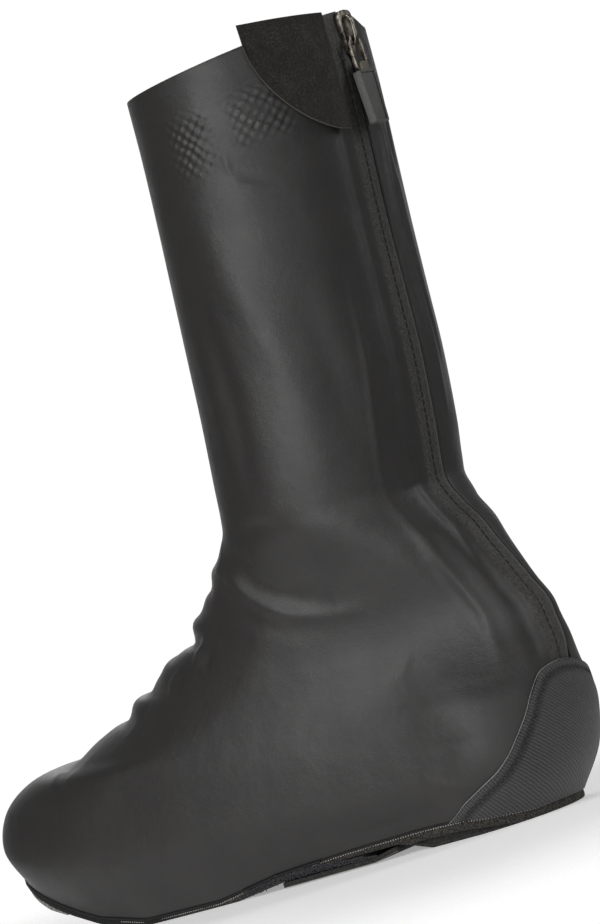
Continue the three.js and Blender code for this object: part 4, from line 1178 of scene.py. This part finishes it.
# round the forefoot the knit is painted near black: painted shade where the band turns under the toe
knit_with_painted_shade = tint(knit, point_value(knit, "forefoot"), knit_tint, (0.008, 0.008, 0.008))
set_inputs(knit, Base_Color=knit_with_painted_shade, Normal=relief(knit, loops, 0.0006))
hem_band = shell_piece(
    "hem_band", band_points, grid_faces(BAND_ROWS, BAND_COLUMNS), knit
)
from_heel = np.minimum(band_turn, 1 - band_turn)
forefoot_shade_share = smooth((from_heel - FOREFOOT_FROM) / (FOREFOOT_FULL - FOREFOOT_FROM))
hold(hem_band, "forefoot", np.broadcast_to(forefoot_shade_share, band_points.shape[:2]))
SIDE_INSET = 2.6
side_foot = hem_in(band_turn, np.full(BAND_COLUMNS, EDGE_ROUND))
side_foot[:, 2] = np.maximum(foot_edge[:, 2], 0.02)
side_top = hem_in(band_turn, np.full(BAND_COLUMNS, SIDE_INSET))
side_top[:, 2] = band_foot + 1.2
side_points = np.stack([side_foot, (side_foot + side_top) / 2, side_top])
shell_piece("sole_side", side_points, grid_faces(3, BAND_COLUMNS)[:, ::-1], webbing)

# The hem's sewing: a black edging tape, broad at the toe, that goes on round the whole hem as a thin
# black line of painted shadow under the upper's edge, and a pale dotted lockstitch on the band just
# below it.
pale_thread = finish("pale_thread", (0.42, 0.41, 0.39), 0.7)
HEM_STITCH_DROP, HEM_STITCH_LENGTH, HEM_STITCH_PITCH, HEM_STITCH_RADIUS = 0.85, 0.5, 1.15, 0.24
EDGING_AND_SHADOW_RADIUS, EDGING_MORE_AT_TOE = 0.3, 0.25
dots = []
for start, end in ((0.03, 0.209), (0.2486, 0.33), (1 - 0.33, 1 - 0.03)):
    stitch_turns = np.linspace(start, end, 1400)
    stitch_line = hem_in(stitch_turns, np.full(1400, -0.42))
    stitch_line[:, 2] = skin(0.0, stitch_turns)[:, 2] - HEM_STITCH_DROP
    dots.append(stitch_row(stitch_line, HEM_STITCH_LENGTH, HEM_STITCH_PITCH))
threads(
    "hem_lockstitch", np.concatenate([d[0] for d in dots]), np.concatenate([d[1] for d in dots]),
    HEM_STITCH_RADIUS, pale_thread, "edge_webbing",
)
# one thin black tube round the hem: real edging tape at the toe, painted shadow under the upper's edge
# elsewhere
edging_and_shadow_turns = np.linspace(0, 1, 900)
from_back = np.minimum(edging_and_shadow_turns, 1 - edging_and_shadow_turns)
edging_and_shadow_thick = EDGING_AND_SHADOW_RADIUS + EDGING_MORE_AT_TOE * smooth((from_back - 0.24) / 0.04)
edging_and_shadow_line = off(np.full(900, 0.01), edging_and_shadow_turns, np.full(900, 0.12))
tube("hem_edging_and_painted_shadow", edging_and_shadow_line, edging_and_shadow_thick, thread)


def under_grid(start, end, inset_by, side_from, side_to, rows, columns):
    """Places across the sole between two places along it: x, y and the share inward of each."""
    x = np.linspace(start, end, rows)
    turn = halved(np.zeros(rows), np.full(rows, 0.5), lambda turn: -skin(0.0, turn)[:, 0] < -x)
    outer = skin(0.0, turn)[:, 1] + inset_by
    inner = skin(0.0, 1 - turn)[:, 1] - inset_by
    across = np.linspace(side_from, side_to, columns)
    y = outer[:, None] + (inner - outer)[:, None] * across
    return np.broadcast_to(x[:, None], y.shape), y, np.broadcast_to(1 - np.abs(2 * across - 1), y.shape)


def slab(name, x, y, top, bottom, material, swap):
    """A closed sheet between two heights over the same places."""
    points = np.stack([np.stack([x, y, top], -1), np.stack([x, y, bottom], -1)])
    return shell_piece(name, points, sheet_faces(*x.shape)[:, ::-1], material, swap=[swap])


# The toe guard: a grey mesh cloth under the toe, which bellies a little below the sole.
GUARD_BELLY, GUARD_WALL = 4.4, 0.8
guard_from, guard_to = -0.874 * SHELL_LENGTH, -0.745 * SHELL_LENGTH
guard_x, guard_y, guard_in = under_grid(guard_from, guard_to, 0.7, 0.0, 1.0, 70, 110)
guard_share = (guard_x - guard_from) / (guard_to - guard_from)
belly = np.sin(np.pi * np.clip(guard_share, 0, 1) ** 0.85) * np.sqrt(np.clip(7 * guard_in + 0.12, 0, 1))
guard_top = under_height(guard_x, guard_in) - 1.5 * CLOTH_GAP
ruffle = 0.35 * np.sin(guard_y * 0.9) * np.sin(guard_x * 0.7)
mesh_cloth = finish("toe_mesh", (0.13, 0.127, 0.115), 0.85)
mesh_place = place_of(mesh_cloth)
holes = node(mesh_cloth, "TexVoronoi", {"Vector": mesh_place, "Scale": 850})
mesh_tint = tint(
    mesh_cloth, ramp(mesh_cloth, holes, 0.15, 0.6, 0, 1), (0.02, 0.02, 0.018), (0.3, 0.29, 0.265)
)
set_inputs(mesh_cloth, Base_Color=mesh_tint, Normal=relief(mesh_cloth, holes, 0.0005))
guard_foot = guard_top - GUARD_WALL - GUARD_BELLY * belly + ruffle * belly
slab("toe_guard_mesh", guard_x, guard_y, guard_top, guard_foot, mesh_cloth, "toe_guard")

# The loop strip under the front of the arch. Its fuzzy pile shows as a lip along the hem, below a
# black tape, and goes in under the band towards the heel.
LOOP_WALL, STRAP_WALL, STRAP_FLOOR_GAP = 1.4, 2.0, 0.4
LIP_FROM, LIP_UNDER, LIP_TO = 0.2486, 0.212, 0.172
LIP_ROWS, LIP_SPANS, TUFTS, TUFT_RADIUS, LOOP_TAPE_RADIUS = 9, 260, 1500, 0.17, 0.5
loop_from, loop_to = -0.38 * SHELL_LENGTH, -0.24 * SHELL_LENGTH
loop_x, loop_y, loop_in = under_grid(loop_from, loop_to, 1.5 * CLOTH_GAP, 0, 0.8, 120, 150)
loop_top = np.minimum(under_height(loop_x, np.zeros_like(loop_x)), ARCH_LIFT) - CLOTH_GAP
pile, pile_noise = speckled(
    "loop_pile", (0.05, 0.05, 0.056), 1.0, (1400, 3, 0.8), (0.42, 0.66),
    (0.01, 0.01, 0.012), (0.085, 0.083, 0.1), 0.0009, Sheen_Weight=0.2,
)
tufts = 0.3 * np.sin(loop_x * 5.1) * np.sin(loop_y * 4.7 + 1.7 * np.sin(loop_x * 2))
loop_foot = loop_top - LOOP_WALL + tufts
slab("loop_strip", loop_x, loop_y, loop_top, loop_foot, pile, "loop_patch")

lip_turn = np.linspace(LIP_FROM, LIP_TO, LIP_SPANS)
lip_under = smooth((LIP_UNDER - lip_turn) / (LIP_UNDER - LIP_TO))
lip_start = smooth((LIP_FROM - lip_turn) / 0.006)
lip_hem = skin(0.0, lip_turn)[:, 2]
lip_top = lip_hem - 0.35 - 4.1 * lip_under
lip_foot = np.maximum(lip_hem - (3.0 + 2.2 * lip_under) * lip_start, 0.35)
lip_rows = []
for share_down in np.linspace(0, 1, LIP_ROWS):
    bulge = 0.5 + 0.55 * math.sin(share_down * math.pi) * lip_start - 1.3 * lip_under
    bulge = bulge - 1.2 * max(0.0, share_down - 0.85) / 0.15
    bulge = bulge + 0.12 * np.sin(lip_turn * 2600 + 5 * share_down)
    row = hem_in(lip_turn, -bulge)
    row[:, 2] = lip_top + (lip_foot - lip_top) * share_down
    lip_rows.append(row)
lip_points = np.stack(lip_rows)
shell_piece("loop_lip", lip_points, grid_faces(LIP_ROWS, LIP_SPANS), pile)
dice = np.random.default_rng(5)
tuft_row = np.minimum((LIP_ROWS - 1) * dice.random(TUFTS) ** 0.7, LIP_ROWS - 1.5).astype(int)
tuft_column = dice.integers(0, LIP_SPANS - 1, TUFTS)
tuft_root = lip_points[tuft_row, tuft_column] + dice.normal(0, 0.15, (TUFTS, 3))
lip_out = skin(0.0, lip_turn) - hem_in(lip_turn, np.ones(LIP_SPANS))
tuft_tip = tuft_root + lip_out[tuft_column] * dice.uniform(0.2, 0.6, (TUFTS, 1))
tuft_tip += dice.normal(0, 0.28, (TUFTS, 3))
tuft_tip[:, 2] -= dice.uniform(0.0, 0.8, TUFTS)
tuft_tip[:, 2] = np.maximum(tuft_tip[:, 2], 0.25)
tuft_root[:, 2] = np.maximum(tuft_root[:, 2], 0.25)
threads("loop_lip_tufts", tuft_root, tuft_tip, TUFT_RADIUS, pile, "loop_pile")
tape_line = hem_in(lip_turn, np.full(LIP_SPANS, -0.75) + 1.1 * lip_under)
tape_line[:, 2] = lip_hem - 0.1 - 0.5 * lip_under
tube("loop_tape_edge", tape_line[: int(0.6 * LIP_SPANS)], LOOP_TAPE_RADIUS, thread)

# The hook flap below it: a strap of webbing that is rooted behind and lies forward, with a slanted
# front end and a raw lower edge.
FRONT_SLANT, HOOK_EDGE_RADIUS = 2.6, 0.17
strap_from, strap_root = -0.371 * SHELL_LENGTH, -0.186 * SHELL_LENGTH
strap_x, strap_y, strap_in = under_grid(strap_from, strap_root, -0.4 * STRAP_WALL, 0, 0.78, 130, 120)
from_front = (strap_x - strap_from) / (strap_root - strap_from)
strap_x = strap_x + FRONT_SLANT * (1 - np.clip(strap_in / 0.16, 0, 1)) * (1 - from_front)
strap_low = ARCH_LIFT - CLOTH_GAP - LOOP_WALL - CLOTH_GAP - STRAP_WALL
climb_from = loop_to + 0.013 * SHELL_LENGTH
climb = smooth((strap_x - climb_from) / (strap_root - climb_from))
strap_top = max(strap_low, STRAP_FLOOR_GAP) + STRAP_WALL
strap_top = strap_top + (ARCH_LIFT - CLOTH_GAP - strap_top) * climb
strap_top = np.minimum(strap_top, under_height(strap_x, strap_in) - CLOTH_GAP)
strap_foot = np.maximum(strap_top - STRAP_WALL, 0.3)
slab("hook_flap", strap_x, strap_y, strap_top, strap_foot, webbing, "arch_strap")
edge_points = np.stack([strap_x[:, 0], strap_y[:, 0], strap_foot[:, 0]], -1)
front_points = np.stack([strap_x[0], strap_y[0], strap_foot[0]], -1)
raw_points = np.concatenate([edge_points[::-1], front_points[1:]]) + [0, 0, 0.16]
tube("hook_flap_raw_edge", raw_points, HOOK_EDGE_RADIUS, cut_edge)
